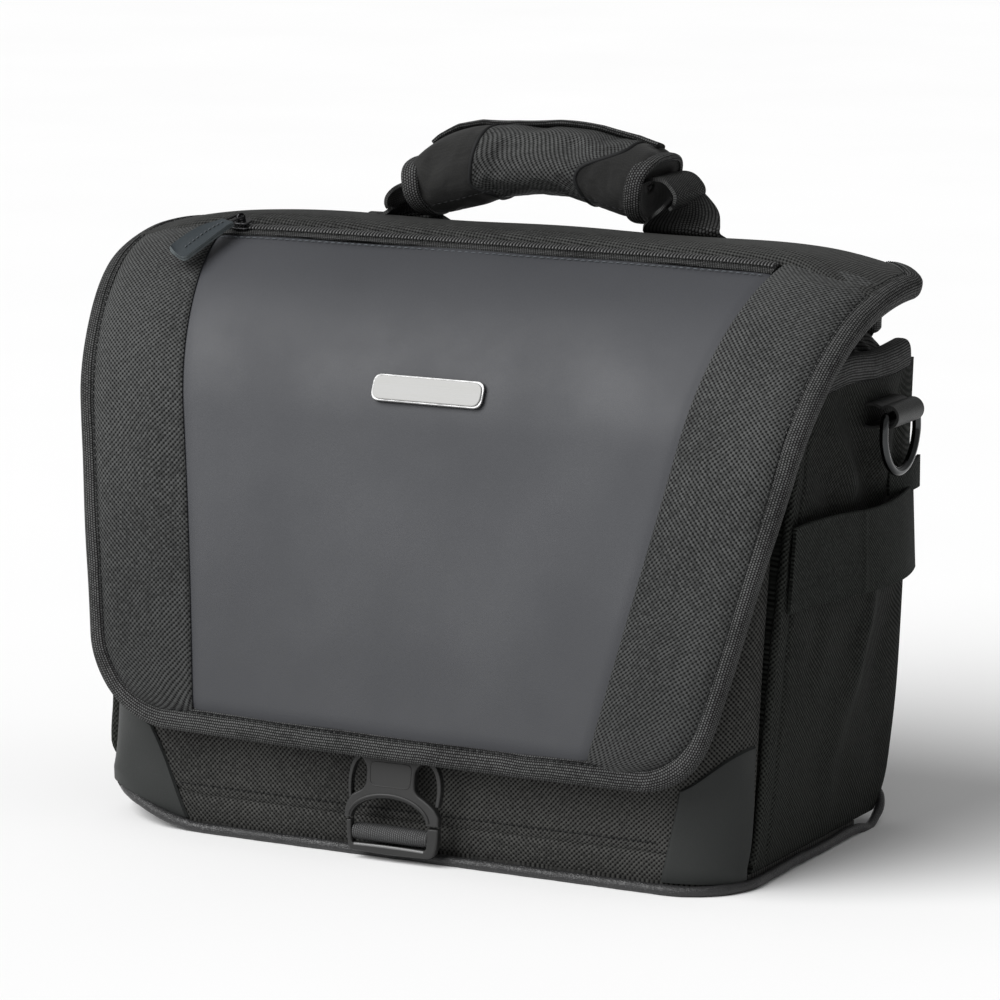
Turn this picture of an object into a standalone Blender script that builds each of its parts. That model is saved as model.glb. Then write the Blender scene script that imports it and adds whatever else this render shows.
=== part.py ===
"""A messenger camera bag, in metres, +Z up.

The origin is at the centre of the base, on the surface that the bag stands on.
-Y is the front, where the flap and its buckle are, and +X is the wearer's left.
Every soft part is one closed sheet or pad of its real thickness. Pieces that rest
on each other keep a small gap.
"""

import math

import bmesh
import bpy
from mathutils import Matrix, Vector

# ------------------------------------------------------------ driving sizes
BASE_HALF = 0.1665          # half the width of the body at its base
BASE_FRONT = -0.0878        # front edge of the base, under the front pocket
BASE_BACK = 0.0450          # where the flat base turns up into the back
BACK_TURN = 0.0360          # radius of that turn
RIM_Z = 0.2215              # top of the padded walls
RIM_SPREAD = 0.0080         # how much wider each side is at the rim
WALL = 0.0080               # padded wall
GAP = 0.0004                # clearance between pieces that touch

FLAP_HEM = (-0.1120, 0.0535)   # lower edge of the flap: Y and Z
FLAP_LEAN = math.radians(73.2)  # the front of the flap leans back from upright
FLAP_FRONT = 0.1495         # straight length from the hem up
FLAP_BEND = 0.0985          # radius over the front shoulder
FLAP_BACK_BEND = 0.0760     # radius behind the ridge
FLAP_BACK_TURN = math.radians(54.0)
FLAP_CORNER = 0.0400        # radius of the two lower corners
FLAP_HEM_HALF = 0.1560      # half the width at the hem
FLAP_RIDGE_HALF = 0.2050    # half the width at the ridge
FLAP_HINGE_HALF = 0.1680    # half the width at the hinge seam
FLAP_SKIN = 0.0010
FLAP_PAD = 0.0049
FLAP_LAYER_GAP = 0.0007
EDGE_INSET = 0.0072         # how far the layers stop inside the bound edge

ZIP_S = 0.2478              # place of the zip along the flap, from the hem
ZIP_HALF = 0.1455
WEBBING = 0.0380            # width of the heavy webbing
WEBBING_THICK = 0.0018

SIDES = (("left", -1), ("right", 1))

# the flap's arc lengths
BEND_LENGTH = FLAP_BEND * FLAP_LEAN
RIDGE_S = FLAP_FRONT + BEND_LENGTH
FLAP_LENGTH = RIDGE_S + FLAP_BACK_BEND * FLAP_BACK_TURN


# ------------------------------------------------------------ small helpers
def smoothstep(t):
    t = min(1.0, max(0.0, t))
    return t * t * (3 - 2 * t)


def mix(a, b, t):
    return a + (b - a) * t


def curve_through(points):
    """A smooth curve through points: f(t) for t from 0 to 1, by chord length."""
    points = [Vector(p) for p in points]
    knots = [0.0]
    for a, b in zip(points, points[1:]):
        knots.append(knots[-1] + (b - a).length)

    def at(t):
        goal = min(1.0, max(0.0, t)) * knots[-1]
        i = next((k for k in range(len(points) - 2) if goal < knots[k + 1]), len(points) - 2)
        f = (goal - knots[i]) / (knots[i + 1] - knots[i])
        before = points[max(i - 1, 0)]
        start, end = points[i], points[i + 1]
        after = points[min(i + 2, len(points) - 1)]
        pull_in = (end - before) * 0.5
        pull_out = (after - start) * 0.5
        f2, f3 = f * f, f * f * f
        return (start * (2 * f3 - 3 * f2 + 1) + pull_in * (f3 - 2 * f2 + f)
                + end * (3 * f2 - 2 * f3) + pull_out * (f3 - f2))

    return at


def make_material(name, colour, roughness, metallic=0.0):
    material = bpy.data.materials.new(name)
    material.use_nodes = True
    shader = material.node_tree.nodes["Principled BSDF"]
    shader.inputs["Base Color"].default_value = (*colour, 1.0)
    shader.inputs["Roughness"].default_value = roughness
    shader.inputs["Metallic"].default_value = metallic
    return material


def keep(name, data, material, smooth=True):
    """Links the mesh or curve as the object called name."""
    obj = bpy.data.objects.new(name, data)
    BAG.objects.link(obj)
    data.materials.append(material)
    if smooth and isinstance(data, bpy.types.Mesh):
        data.shade_smooth()
    return obj


def modifier(obj, kind, **settings):
    made = obj.modifiers.new(kind.title(), kind)
    for key, value in settings.items():
        setattr(made, key, value)
    return made


def sheet(name, surface, cells, thickness, material, side=-1.0):
    """A sheet over surface(u, v), u and v from 0 to 1, thickened on the side that
    faces away from its normal, or towards it when side is 1."""
    bm = bmesh.new()
    bmesh.ops.create_grid(bm, x_segments=cells[0], y_segments=cells[1], size=0.5)
    for vertex in bm.verts:
        vertex.co = surface(vertex.co.x + 0.5, vertex.co.y + 0.5)
    mesh = bpy.data.meshes.new(name)
    bm.to_mesh(mesh)
    bm.free()
    obj = keep(name, mesh, material)
    modifier(obj, "SOLIDIFY", thickness=thickness, offset=side)
    return obj


def tube(name, points, radius, material, cyclic=False, resolution=2):
    """A round rod, wire or binding along points."""
    curve = bpy.data.curves.new(name, "CURVE")
    curve.dimensions = "3D"
    curve.bevel_depth = radius
    curve.bevel_resolution = resolution
    curve.use_fill_caps = not cyclic
    spline = curve.splines.new("POLY")
    spline.points.add(len(points) - 1)
    for spot, point in zip(spline.points, points):
        spot.co = (*point, 1.0)
    spline.use_cyclic_u = cyclic
    return keep(name, curve, material)


def plate(name, outlines, thickness, material, matrix, bevel=0.0):
    """A flat plate in its own XY plane. The first outline is its edge, the others holes."""
    curve = bpy.data.curves.new(name, "CURVE")
    curve.dimensions = "2D"
    curve.fill_mode = "BOTH"
    curve.extrude = thickness / 2 - bevel
    curve.bevel_depth = bevel
    curve.bevel_resolution = 0
    curve.offset = -bevel
    for outline in outlines:
        spline = curve.splines.new("POLY")
        spline.points.add(len(outline) - 1)
        for spot, (x, y) in zip(spline.points, outline):
            spot.co = (x, y, 0.0, 1.0)
        spline.use_cyclic_u = True
    obj = keep(name, curve, material)
    obj.matrix_world = matrix
    return obj


def block(name, size, material, matrix, bevel=0.0):
    """A box of that size about its own centre, with rounded edges."""
    bm = bmesh.new()
    bmesh.ops.create_cube(bm, size=1.0)
    bmesh.ops.scale(bm, vec=size, verts=bm.verts)
    mesh = bpy.data.meshes.new(name)
    bm.to_mesh(mesh)
    bm.free()
    obj = keep(name, mesh, material, smooth=False)
    obj.matrix_world = matrix
    if bevel:
        modifier(obj, "BEVEL", width=bevel, segments=2)
    return obj


def arc(centre, radius, start, end, steps):
    """Points on an arc in a plane, angles in degrees."""
    turn = (end - start) / steps
    return [
        (centre[0] + radius * math.cos(math.radians(start + turn * i)),
         centre[1] + radius * math.sin(math.radians(start + turn * i)))
        for i in range(steps + 1)
    ]


# ------------------------------------------------------------ the body's shape
FRONT_LINE = curve_through(
    [(-0.0720, 0.0100), (-0.0665, 0.0240), (-0.0610, 0.0660), (-0.0550, 0.1160),
     (-0.0440, 0.1790), (-0.0290, RIM_Z)]
)
BACK_LINE = curve_through(
    [(BASE_BACK + BACK_TURN, BACK_TURN), (0.0865, 0.0700), (0.0880, 0.1300), (0.0880, RIM_Z)]
)


def line_y(line, z):
    """Y of a line that rises steadily, at height z."""
    low, high = 0.0, 1.0
    for _ in range(30):
        middle = (low + high) / 2
        low, high = (middle, high) if line(middle)[1] < z else (low, middle)
    return line(low)[0]


def side_x(z):
    """Outer face of the side wall at height z."""
    return BASE_HALF + RIM_SPREAD * z / RIM_Z


def back_path(t):
    """The back from the end of the flat base, round the turn and up to the rim."""
    turn_length = BACK_TURN * math.pi / 2
    rise = RIM_Z - BACK_TURN
    goal = t * (turn_length + rise)
    if goal < turn_length:
        angle = goal / BACK_TURN
        return Vector((BASE_BACK + BACK_TURN * math.sin(angle),
                       GAP + BACK_TURN * (1 - math.cos(angle))))
    return BACK_LINE((goal - turn_length) / rise)


def side_bottom(y):
    """Lower edge of the side wall: above the base, then round the back turn."""
    above_base = 0.0065
    reach = y - BASE_BACK
    if reach <= 0:
        return above_base
    return max(above_base, GAP + BACK_TURN - math.sqrt(max(0.0, BACK_TURN ** 2 - reach ** 2)))


def side_wall_point(u, v):
    """A point (y, z) inside the side wall's outline, u from front to back, v upwards."""
    turn_end = BASE_BACK + BACK_TURN
    y_low = mix(FRONT_LINE(0)[0] + 0.0005, turn_end - 0.0004, u)
    low = Vector((y_low, side_bottom(y_low)))
    front, back = FRONT_LINE(v), BACK_LINE(v)
    high = Vector((mix(FRONT_LINE(1)[0], BACK_LINE(1)[0], u), RIM_Z))
    front_bow = front - FRONT_LINE(0).lerp(FRONT_LINE(1), v)
    back_bow = back - BACK_LINE(0).lerp(BACK_LINE(1), v)
    return low.lerp(high, v) + front_bow * (1 - u) + back_bow * u


# ------------------------------------------------------------ the flap's shape
def flap_profile(s):
    """Y, Z and the outward normal of the flap's bound edge, s metres up from the hem."""
    hem = Vector(FLAP_HEM)
    lean = Vector((math.cos(FLAP_LEAN), math.sin(FLAP_LEAN)))
    if s <= FLAP_FRONT:
        return hem + lean * s, Vector((-lean.y, lean.x))
    start = hem + lean * FLAP_FRONT
    angle = FLAP_LEAN - (s - FLAP_FRONT) / FLAP_BEND
    if s <= RIDGE_S:
        return start + FLAP_BEND * Vector(
            (math.sin(FLAP_LEAN) - math.sin(angle), math.cos(angle) - math.cos(FLAP_LEAN))
        ), Vector((-math.sin(angle), math.cos(angle)))
    ridge = start + FLAP_BEND * Vector((math.sin(FLAP_LEAN), 1 - math.cos(FLAP_LEAN)))
    angle = (s - RIDGE_S) / FLAP_BACK_BEND
    return ridge + FLAP_BACK_BEND * Vector((math.sin(angle), math.cos(angle) - 1)), Vector(
        (math.sin(angle), math.cos(angle))
    )


def flap_half(s):
    """Half the flap's width, with its rounded lower corners."""
    if s <= RIDGE_S:
        half = mix(FLAP_HEM_HALF, FLAP_RIDGE_HALF, (max(s, 0.0) / RIDGE_S) ** 0.8)
    else:
        half = mix(FLAP_RIDGE_HALF, FLAP_HINGE_HALF,
                   smoothstep((s - RIDGE_S) / (FLAP_LENGTH - RIDGE_S)))
    if s < FLAP_CORNER:
        half -= FLAP_CORNER - math.sqrt(max(0.0, FLAP_CORNER ** 2 - (FLAP_CORNER - s) ** 2))
    return half


FLAP_CROWN = curve_through(
    [(0.0, 0.002), (0.100, 0.004), (0.190, 0.008), (RIDGE_S, 0.0135), (0.320, 0.009),
     (FLAP_LENGTH, 0.0)]
)


def crown_at(s):
    """How far the middle of the flap stands above its edges."""
    low, high = 0.0, 1.0
    for _ in range(24):
        middle = (low + high) / 2
        low, high = (middle, high) if FLAP_CROWN(middle)[0] < s else (low, middle)
    return FLAP_CROWN(low)[1]


def flap_point(s, x, depth=0.0):
    """A point of the flap's outer face, or depth metres inside it."""
    spot, normal = flap_profile(s)
    full = FLAP_RIDGE_HALF if s > RIDGE_S else mix(
        FLAP_HEM_HALF, FLAP_RIDGE_HALF, (max(s, 0.0) / RIDGE_S) ** 0.8)
    lift = crown_at(s) * (1 - min(1.0, abs(x) / full) ** 7) - depth
    return Vector((x, spot.x + normal.x * lift, spot.y + normal.y * lift))


def seam_half(s):
    """Half the width of the smooth middle panel."""
    return 0.102 + 0.1833 * s


def flap_sheet(name, start, end, left, right, cells, depth, thickness, material):
    """A layer of the flap from s = start to end, between the x edges left(s) and right(s)."""
    def surface(u, v):
        s = mix(start, end, v)
        return flap_point(s, mix(left(s), right(s), u), depth)
    return sheet(name, surface, cells, thickness, material)


# ------------------------------------------------------------ sub-assemblies
def build_base():
    corner = 0.0200
    outline = (
        arc((BASE_HALF - corner, BASE_FRONT + corner), corner, -90, 0, 5)
        + [(BASE_HALF, BASE_BACK - 0.0018), (-BASE_HALF, BASE_BACK - 0.0018)]
        + arc((-BASE_HALF + corner, BASE_FRONT + corner), corner, 180, 270, 5)
    )
    plate("base_panel", [outline], 0.0060, NYLON, Matrix.Translation((0, 0, 0.0030)))
    block("base_board", (0.300, 0.096, 0.0028), BOARD, Matrix.Translation((0, -0.012, 0.0082)))
    radius = 0.0028
    out = radius + GAP
    low = radius + GAP
    half = [(0.035 * i, BASE_FRONT - out, low) for i in range(5)]
    half += [(x, y, low) for x, y in
             arc((BASE_HALF - corner, BASE_FRONT + corner), corner + out, -90, 0, 6)]
    half += [(BASE_HALF + out, y, low) for y in (-0.03, 0.0, 0.025, BASE_BACK)]
    reach = BACK_TURN + out
    lift = GAP + BACK_TURN
    for degrees, inward in ((15, 0.0), (30, 0.0), (42, 0.0006), (52, 0.0040), (58, 0.0120)):
        turn = math.radians(degrees)
        radial = reach if degrees > 20 else BACK_TURN - 0.0004
        half.append((BASE_HALF + out - inward, BASE_BACK + radial * math.sin(turn),
                     lift - radial * math.cos(turn)))
    turn = math.radians(60)
    back = (BASE_BACK + reach * math.sin(turn), lift - reach * math.cos(turn))
    half += [(x, *back) for x in (0.14, 0.10, 0.06, 0.03)]
    mirrored = [(-x, y, z) for x, y, z in reversed(half) if x > 0]
    tube("base_piping", half + [(0.0, *back)] + mirrored, radius, PIPING, cyclic=True)


def build_walls():
    def front_point(u, v):
        y, z = FRONT_LINE(v)
        return Vector((mix(-1, 1, u) * (side_x(z) - WALL - GAP), y, z))
    sheet("front_wall", front_point, (6, 10), WALL, NYLON)

    def back_point(u, v):
        y, z = back_path(v)
        return Vector((mix(1, -1, u) * (side_x(z) - WALL - GAP), y, z))
    sheet("back_wall", back_point, (6, 16), WALL, NYLON)

    for side, sign in SIDES:
        def wall_point(u, v, sign=sign):
            y, z = side_wall_point(u if sign > 0 else 1 - u, v)
            return Vector((sign * side_x(z), y, z))
        sheet("side_wall_" + side, wall_point, (12, 10), WALL, NYLON)

        def divider_point(u, v, sign=sign):
            z = mix(0.0105, 0.185, v)
            front = line_y(FRONT_LINE, z) + WALL + 0.0015
            drop = max(0.0, GAP + BACK_TURN - z)
            back = line_y(BACK_LINE, max(z, BACK_TURN + 0.001)) - WALL - 0.0022
            turned = BASE_BACK + math.sqrt(max(0.0, (BACK_TURN - WALL) ** 2 - drop ** 2))
            back = min(back, turned - 0.0022)
            return Vector((sign * 0.062, mix(front, back, u), z))
        sheet("divider_" + side, divider_point, (4, 10), 0.008, LINING, side=0.0)

    # the strip that the flap hinges on
    sheet("hinge_tape",
          lambda u, v: Vector((mix(1, -1, u) * 0.150, 0.0898, mix(0.2060, 0.2288, v))),
          (2, 1), 0.0010, NYLON)


def build_rim():
    z = RIM_Z + 0.0048
    half = [(0.04 * i, FRONT_LINE(1)[0] + WALL / 2, z) for i in range(4)]
    corner = 0.012
    x_side = side_x(RIM_Z) - WALL / 2
    half += [(x, y, z) for x, y in
             arc((x_side - corner, FRONT_LINE(1)[0] + WALL / 2 + corner), corner, -90, 0, 4)]
    half += [(x_side, y, z) for y in (0.01, 0.04, 0.07, 0.080)]
    mirrored = [(-x, y, zz) for x, y, zz in reversed(half) if x > 0]
    tube("rim_binding", mirrored + half, 0.0042, BINDING)

    for side, sign in SIDES:
        def ear_point(u, v, sign=sign):
            y = mix(-0.004, 0.070, u if sign > 0 else 1 - u)
            hump = math.sin(math.pi * min(0.96, max(0.04, u))) ** 0.5
            top = mix(0.232, 0.256, hump)
            lean = 0.016 * v * v
            return Vector((sign * (0.1648 - 0.004 * v - lean), y, mix(0.206, top, v)))
        sheet("dust_ear_" + side, ear_point, (8, 5), 0.0016, RIBBED)


POCKET_LINE = curve_through(
    [(-0.0912, 0.0084), (-0.0928, 0.0175), (-0.0938, 0.0300), (-0.0950, 0.0480),
     (-0.0940, 0.0620), (-0.0893, 0.0900), (-0.0780, 0.1300), (-0.0662, 0.1680)]
)
POCKET_SHEET = 0.0022
POCKET_CORNER = 0.0380      # how far in from the side seam the corner starts to turn
POCKET_FLAT = 5 / 9         # share of the width that is flat


def pocket_point(across, t, proud=0.0):
    """A point of the front pocket's outer face: across runs from -1 to 1, t upwards."""
    y, z = POCKET_LINE(t)
    seam = line_y(FRONT_LINE, max(z, 0.0102)) - POCKET_SHEET - 0.0007
    edge = BASE_HALF - 0.0006
    flat = edge - POCKET_CORNER
    share = abs(across)
    if share < POCKET_FLAT:
        x = flat * share / POCKET_FLAT
        swell = 0.0020 * (1 - (x / flat) ** 2)
        return Vector((math.copysign(x, across), y - swell * math.sin(math.pi * t) - proud, z))
    turn = math.pi / 2 * (share - POCKET_FLAT) / (1 - POCKET_FLAT)
    x = flat + POCKET_CORNER * math.sin(turn) + proud * math.sin(turn)
    y = mix(seam, y, math.cos(turn)) - proud * math.cos(turn)
    return Vector((math.copysign(x, across), y, z))


def height_share(z):
    """The t of POCKET_LINE at height z."""
    low, high = 0.0, 1.0
    for _ in range(30):
        middle = (low + high) / 2
        low, high = (middle, high) if POCKET_LINE(middle)[1] < z else (low, middle)
    return low


def build_pocket():
    seam_low, seam_high = height_share(0.0172), height_share(0.0178)
    sheet("pocket_gusset",
          lambda u, v: pocket_point(2 * u - 1, seam_low * v), (18, 2), POCKET_SHEET, NYLON)
    sheet("pocket_front",
          lambda u, v: pocket_point(2 * u - 1, mix(seam_high, 1.0, v)), (18, 12), POCKET_SHEET,
          NYLON)
    for side, sign in SIDES:
        # the smooth patch covers the lower corner, and its top edge rises to the side seam
        def patch_point(u, v, sign=sign):
            outward = u if sign > 0 else 1 - u
            across = mix(mix(0.545, 0.600, v), 0.985, outward)
            top = mix(0.0470, 0.0680, smoothstep(outward))
            spot = pocket_point(sign * across, height_share(mix(0.0098, top, v)), proud=0.0010)
            return spot
        sheet("corner_patch_" + side, patch_point, (6, 7), 0.0008, LEATHER, side=1.0)
    line = [pocket_point((i - 8) / 8 * 0.97, 1.0) for i in range(17)]
    tube("pocket_binding", [(p.x, p.y - 0.0003, p.z + 0.0036) for p in line], 0.0030, BINDING)


def build_sides():
    for side, sign in SIDES:
        route = curve_through(
            [(0.1750, -0.0475, 0.1420), (0.1790, -0.0200, 0.1420), (0.1835, 0.0200, 0.1420),
             (0.1838, 0.0550, 0.1420), (0.1790, 0.0780, 0.1420), (0.1756, 0.0850, 0.1420)]
        )

        def band_point(u, v, sign=sign, route=route):
            x, y, z = route(u if sign > 0 else 1 - u)
            return Vector((sign * x, y, z + mix(-0.5, 0.5, v) * WEBBING))
        sheet("side_band_" + side, band_point, (12, 2), WEBBING_THICK, WEBBING_MAT)

        # the loop that holds the ring: a tab from the wall, rolled round the ring's bar
        centre = (0.1862, 0.2020)
        roll = arc(centre, 0.0042, 135, -135, 12)
        loop = [(0.1752, 0.2062), (0.1795, 0.2068)] + roll + [(0.1795, 0.1972), (0.1752, 0.1978)]
        path = curve_through(loop)

        def loop_point(u, v, sign=sign, path=path):
            x, z = path(v)
            return Vector((sign * x, mix(0.0315, 0.0605, u if sign > 0 else 1 - u), z))
        sheet("ring_loop_" + side, loop_point, (1, 30), 0.0012, LEATHER)

        # the ring: a straight bar inside the roll, and a bow that hangs below it
        x = sign * centre[0]
        bow = [(0.0460 + 0.0190 * math.sin(math.radians(a)),
                0.1955 - 0.0185 * math.cos(math.radians(a))) for a in range(-80, 81, 16)]
        ring = [(x, 0.0272, 0.2000), (x, 0.0290, 0.2020), (x, 0.0460, 0.2020),
                (x, 0.0630, 0.2020), (x, 0.0648, 0.2000)]
        ring += [(x, y, z) for y, z in reversed(bow)]
        tube("d_ring_" + side, ring, 0.0021, METAL, cyclic=True, resolution=3)


def build_back():
    """The sleeve across the back that slips over a trolley handle."""
    def sleeve_point(u, v):
        x = mix(1, -1, u) * 0.098
        z = mix(0.085, 0.180, v)
        bulge = 0.0095 * math.sin(math.pi * u) ** 0.4 if 0 < u < 1 else 0.0
        return Vector((x, 0.0905 + bulge, z))
    sheet("trolley_sleeve", sleeve_point, (14, 4), 0.0018, NYLON)


def build_flap():
    depth_pad = FLAP_SKIN + FLAP_LAYER_GAP
    depth_lining = depth_pad + FLAP_PAD + FLAP_LAYER_GAP
    low = 0.0076
    high = FLAP_LENGTH - 0.0030

    def edge(s):
        if s >= FLAP_CORNER:
            return flap_half(s) - EDGE_INSET
        full = mix(FLAP_HEM_HALF, FLAP_RIDGE_HALF, (max(s, 0.0) / RIDGE_S) ** 0.8)
        reach = (FLAP_CORNER - EDGE_INSET) ** 2 - (FLAP_CORNER - s) ** 2
        return full - FLAP_CORNER + math.sqrt(max(0.0, reach))
    flap_sheet("flap_pad", low, high, lambda s: -edge(s), edge, (14, 26), depth_pad, FLAP_PAD,
               FOAM)
    flap_sheet("flap_lining", low, high - 0.002, lambda s: -edge(s), edge, (14, 26),
               depth_lining, FLAP_SKIN, LINING)
    flap_sheet("flap_centre_panel", low, 0.2430, lambda s: -seam_half(s), seam_half, (8, 18),
               0.0, FLAP_SKIN, LEATHER)
    flap_sheet("flap_side_panel_right", low, 0.2465, lambda s: seam_half(s) + GAP, edge,
               (5, 18), 0.0, FLAP_SKIN, NYLON)
    flap_sheet("flap_side_panel_left", low, 0.2465, lambda s: -edge(s),
               lambda s: -seam_half(s) - GAP, (5, 18), 0.0, FLAP_SKIN, NYLON)
    flap_sheet("flap_top_panel", 0.2525, high, lambda s: -edge(s), edge, (14, 10), 0.0,
               FLAP_SKIN, NYLON)
    radius = 0.0031
    route = []
    side_steps = 22
    for i in range(side_steps + 1):
        s = mix(FLAP_LENGTH - 0.002, FLAP_CORNER, i / side_steps)
        route.append(flap_point(s, flap_half(s) - radius - 0.0004, 0.0042))
    for i in range(1, 7):
        s = FLAP_CORNER - radius - (FLAP_CORNER - radius) * math.sin(math.radians(15 * i))
        s = s + radius
        full = flap_half(s)
        route.append(flap_point(s, full - radius, 0.0042))
    route += [flap_point(radius, x, 0.0042) for x in (0.08, 0.04)]
    mirrored = [Vector((-p.x, p.y, p.z)) for p in route]
    tube("flap_binding", route + [flap_point(radius, 0.0, 0.0042)] + mirrored[::-1], radius,
         BINDING)


def flap_frame(s, x, depth=0.0):
    """A matrix on the flap: its X runs along the bag's X, its Y up the flap, Z outwards."""
    spot = flap_point(s, x, depth)
    _, normal = flap_profile(s)
    out = Vector((0, normal.x, normal.y))
    along = Vector((1, 0, 0))
    up = out.cross(along)
    return Matrix.Translation(spot) @ Matrix(
        ((along.x, up.x, out.x), (along.y, up.y, out.y), (along.z, up.z, out.z))
    ).to_4x4()


SLIDER_X = -0.1370
PULL_DROP = curve_through([(0.0, 0.0036), (0.3, 0.0026), (0.6, 0.0004), (1.0, -0.0036)])


def build_zip():
    flap_sheet("zip_tape", 0.2436, 0.2518, lambda s: -ZIP_HALF, lambda s: ZIP_HALF, (14, 1),
               0.0002, 0.0006, NYLON)
    line = flap_point(ZIP_S, 0.0, -0.0014)
    points = [(x * ZIP_HALF, line.y, line.z) for x in (-1, -0.5, 0, 0.5, 1)]
    tube("zip_coil", points, 0.0010, PLASTIC)

    frame = flap_frame(ZIP_S, 0.0)
    frame.translation = Vector((SLIDER_X, line.y, line.z))
    groove = block("slider_groove", (0.020, 0.0027, 0.0040), METAL,
                   frame @ Matrix.Translation((0, 0, -0.0006)))
    groove.hide_render = True
    groove.display_type = "WIRE"
    CUTTERS.objects.link(groove)
    BAG.objects.unlink(groove)
    slider = block("zip_slider", (0.0110, 0.0074, 0.0034), METAL,
                   frame @ Matrix.Translation((0, 0, 0.0008)))
    modifier(slider, "BOOLEAN", object=groove, operation="DIFFERENCE", solver="EXACT")

    # the pull lies down the flap and towards its near side, on a lug of the slider
    lay = frame @ Matrix.Rotation(math.radians(248), 4, "Z")
    lug = [(-0.0026, 0.0), (0.0026, 0.0), (0.0026, 0.0022)]
    lug += arc((0, 0.0020), 0.0022, 20, 160, 6) + [(-0.0026, 0.0022)]
    hole = arc((0, 0.0019), 0.0012, 0, 315, 7)
    stand = Matrix.Translation((0, 0, 0.0028)) @ Matrix.Rotation(math.radians(90), 4, "X")
    plate("slider_lug", [lug, hole], 0.0014, METAL, lay @ stand)

    pin = 0.0028 + 0.0019
    link = [(0.0, -0.0021, pin), (0.0, 0.0, pin), (0.0, 0.0021, pin), (0.0035, 0.0021, pin),
            (0.0072, 0.0021, pin), (0.0072, -0.0021, pin), (0.0035, -0.0021, pin)]
    tube("pull_link", [lay @ Vector(p) for p in link], 0.0005, METAL, cyclic=True)

    def tab_point(u, v):
        reach = mix(0.0082, 0.0400, v)
        width = mix(0.0040, 0.0054, smoothstep(v * 3))
        return lay @ Vector((reach, mix(-width, width, u), PULL_DROP(v)[1]))
    sheet("pull_tab", tab_point, (2, 8), 0.0024, LEATHER, side=1.0)
    return frame, lay @ Vector((0, 0, pin))


def build_badge():
    radius = 0.0045
    half_w, half_h = 0.0290, 0.0064
    outline = (
        arc((half_w - radius, -half_h + radius), radius, -90, 0, 4)
        + arc((half_w - radius, half_h - radius), radius, 0, 90, 4)
        + arc((-half_w + radius, half_h - radius), radius, 90, 180, 4)
        + arc((-half_w + radius, -half_h + radius), radius, 180, 270, 4)
    )
    plate("badge", [outline], 0.0022, METAL, flap_frame(0.1652, 0.0, -0.0018))


HANDLE_AXIS = Vector((0.0, 0.0450, 0.2822))
GRIP_HALF = 0.0650


def build_handle():
    for side, sign in SIDES:
        rise = curve_through(
            [(0.0800, 0.2850), (0.0828, 0.2910), (0.0820, 0.2990), (0.0765, 0.3050),
             (GRIP_HALF + 0.0016, 0.3070)]
        )

        def strap_point(u, v, sign=sign, rise=rise):
            half = mix(0.0070, 0.0165, smoothstep(v * 2.2))
            x, z = rise(v)
            across = u if sign > 0 else 1 - u
            return Vector((sign * x, HANDLE_AXIS.y + mix(-half, half, across), z))
        sheet("handle_strap_" + side, strap_point, (3, 12), WEBBING_THICK, WEBBING_MAT, side=0.0)

        def anchor_point(u, v, sign=sign):
            x = sign * 0.0740 + mix(-0.5, 0.5, u) * WEBBING
            return flap_point(mix(0.2900, 0.3240, v), x, -0.0004)
        sheet("handle_anchor_" + side, anchor_point, (4, 5), 0.0012, WEBBING_MAT, side=1.0)
        roll = [(sign * x, HANDLE_AXIS.y, HANDLE_AXIS.z) for x in (0.0745, 0.0800, 0.0855)]
        tube("anchor_roll_" + side, roll, 0.0021, WEBBING_MAT)

    bm = bmesh.new()
    bmesh.ops.create_cube(bm, size=1.0)
    bmesh.ops.scale(bm, vec=(2 * GRIP_HALF, 0.0440, 0.0400), verts=bm.verts)
    lengthwise = [e for e in bm.edges if abs(e.verts[0].co.x - e.verts[1].co.x) > 0.1]
    bmesh.ops.subdivide_edges(bm, edges=lengthwise, cuts=5, use_grid_fill=True)
    for vertex in bm.verts:
        along = abs(vertex.co.x) / GRIP_HALF
        vertex.co.z += 0.3085 - 0.0050 * along ** 2
        vertex.co.y += HANDLE_AXIS.y
    mesh = bpy.data.meshes.new("handle_grip")
    bm.to_mesh(mesh)
    bm.free()
    grip = keep("handle_grip", mesh, FABRIC_SOFT)
    modifier(grip, "SUBSURF", levels=2, render_levels=2)


BUCKLE_Y = -0.1078
BUCKLE_THICK = 0.0040
SPLIT_Z = 0.0194
FRAME_AXIS = Vector((0.0, BUCKLE_Y, 0.0050))


def buckle_matrix(z):
    """A matrix whose XY plane is the buckle's face, Y up the bag and Z to the front."""
    return Matrix.Translation((0, BUCKLE_Y, z)) @ Matrix.Rotation(math.radians(90), 4, "X")


def mirrored_outline(half):
    """A closed outline from its right half, listed from the bottom middle to the top."""
    return half + [(-x, y) for x, y in reversed(half) if x > 1e-6]


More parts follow.
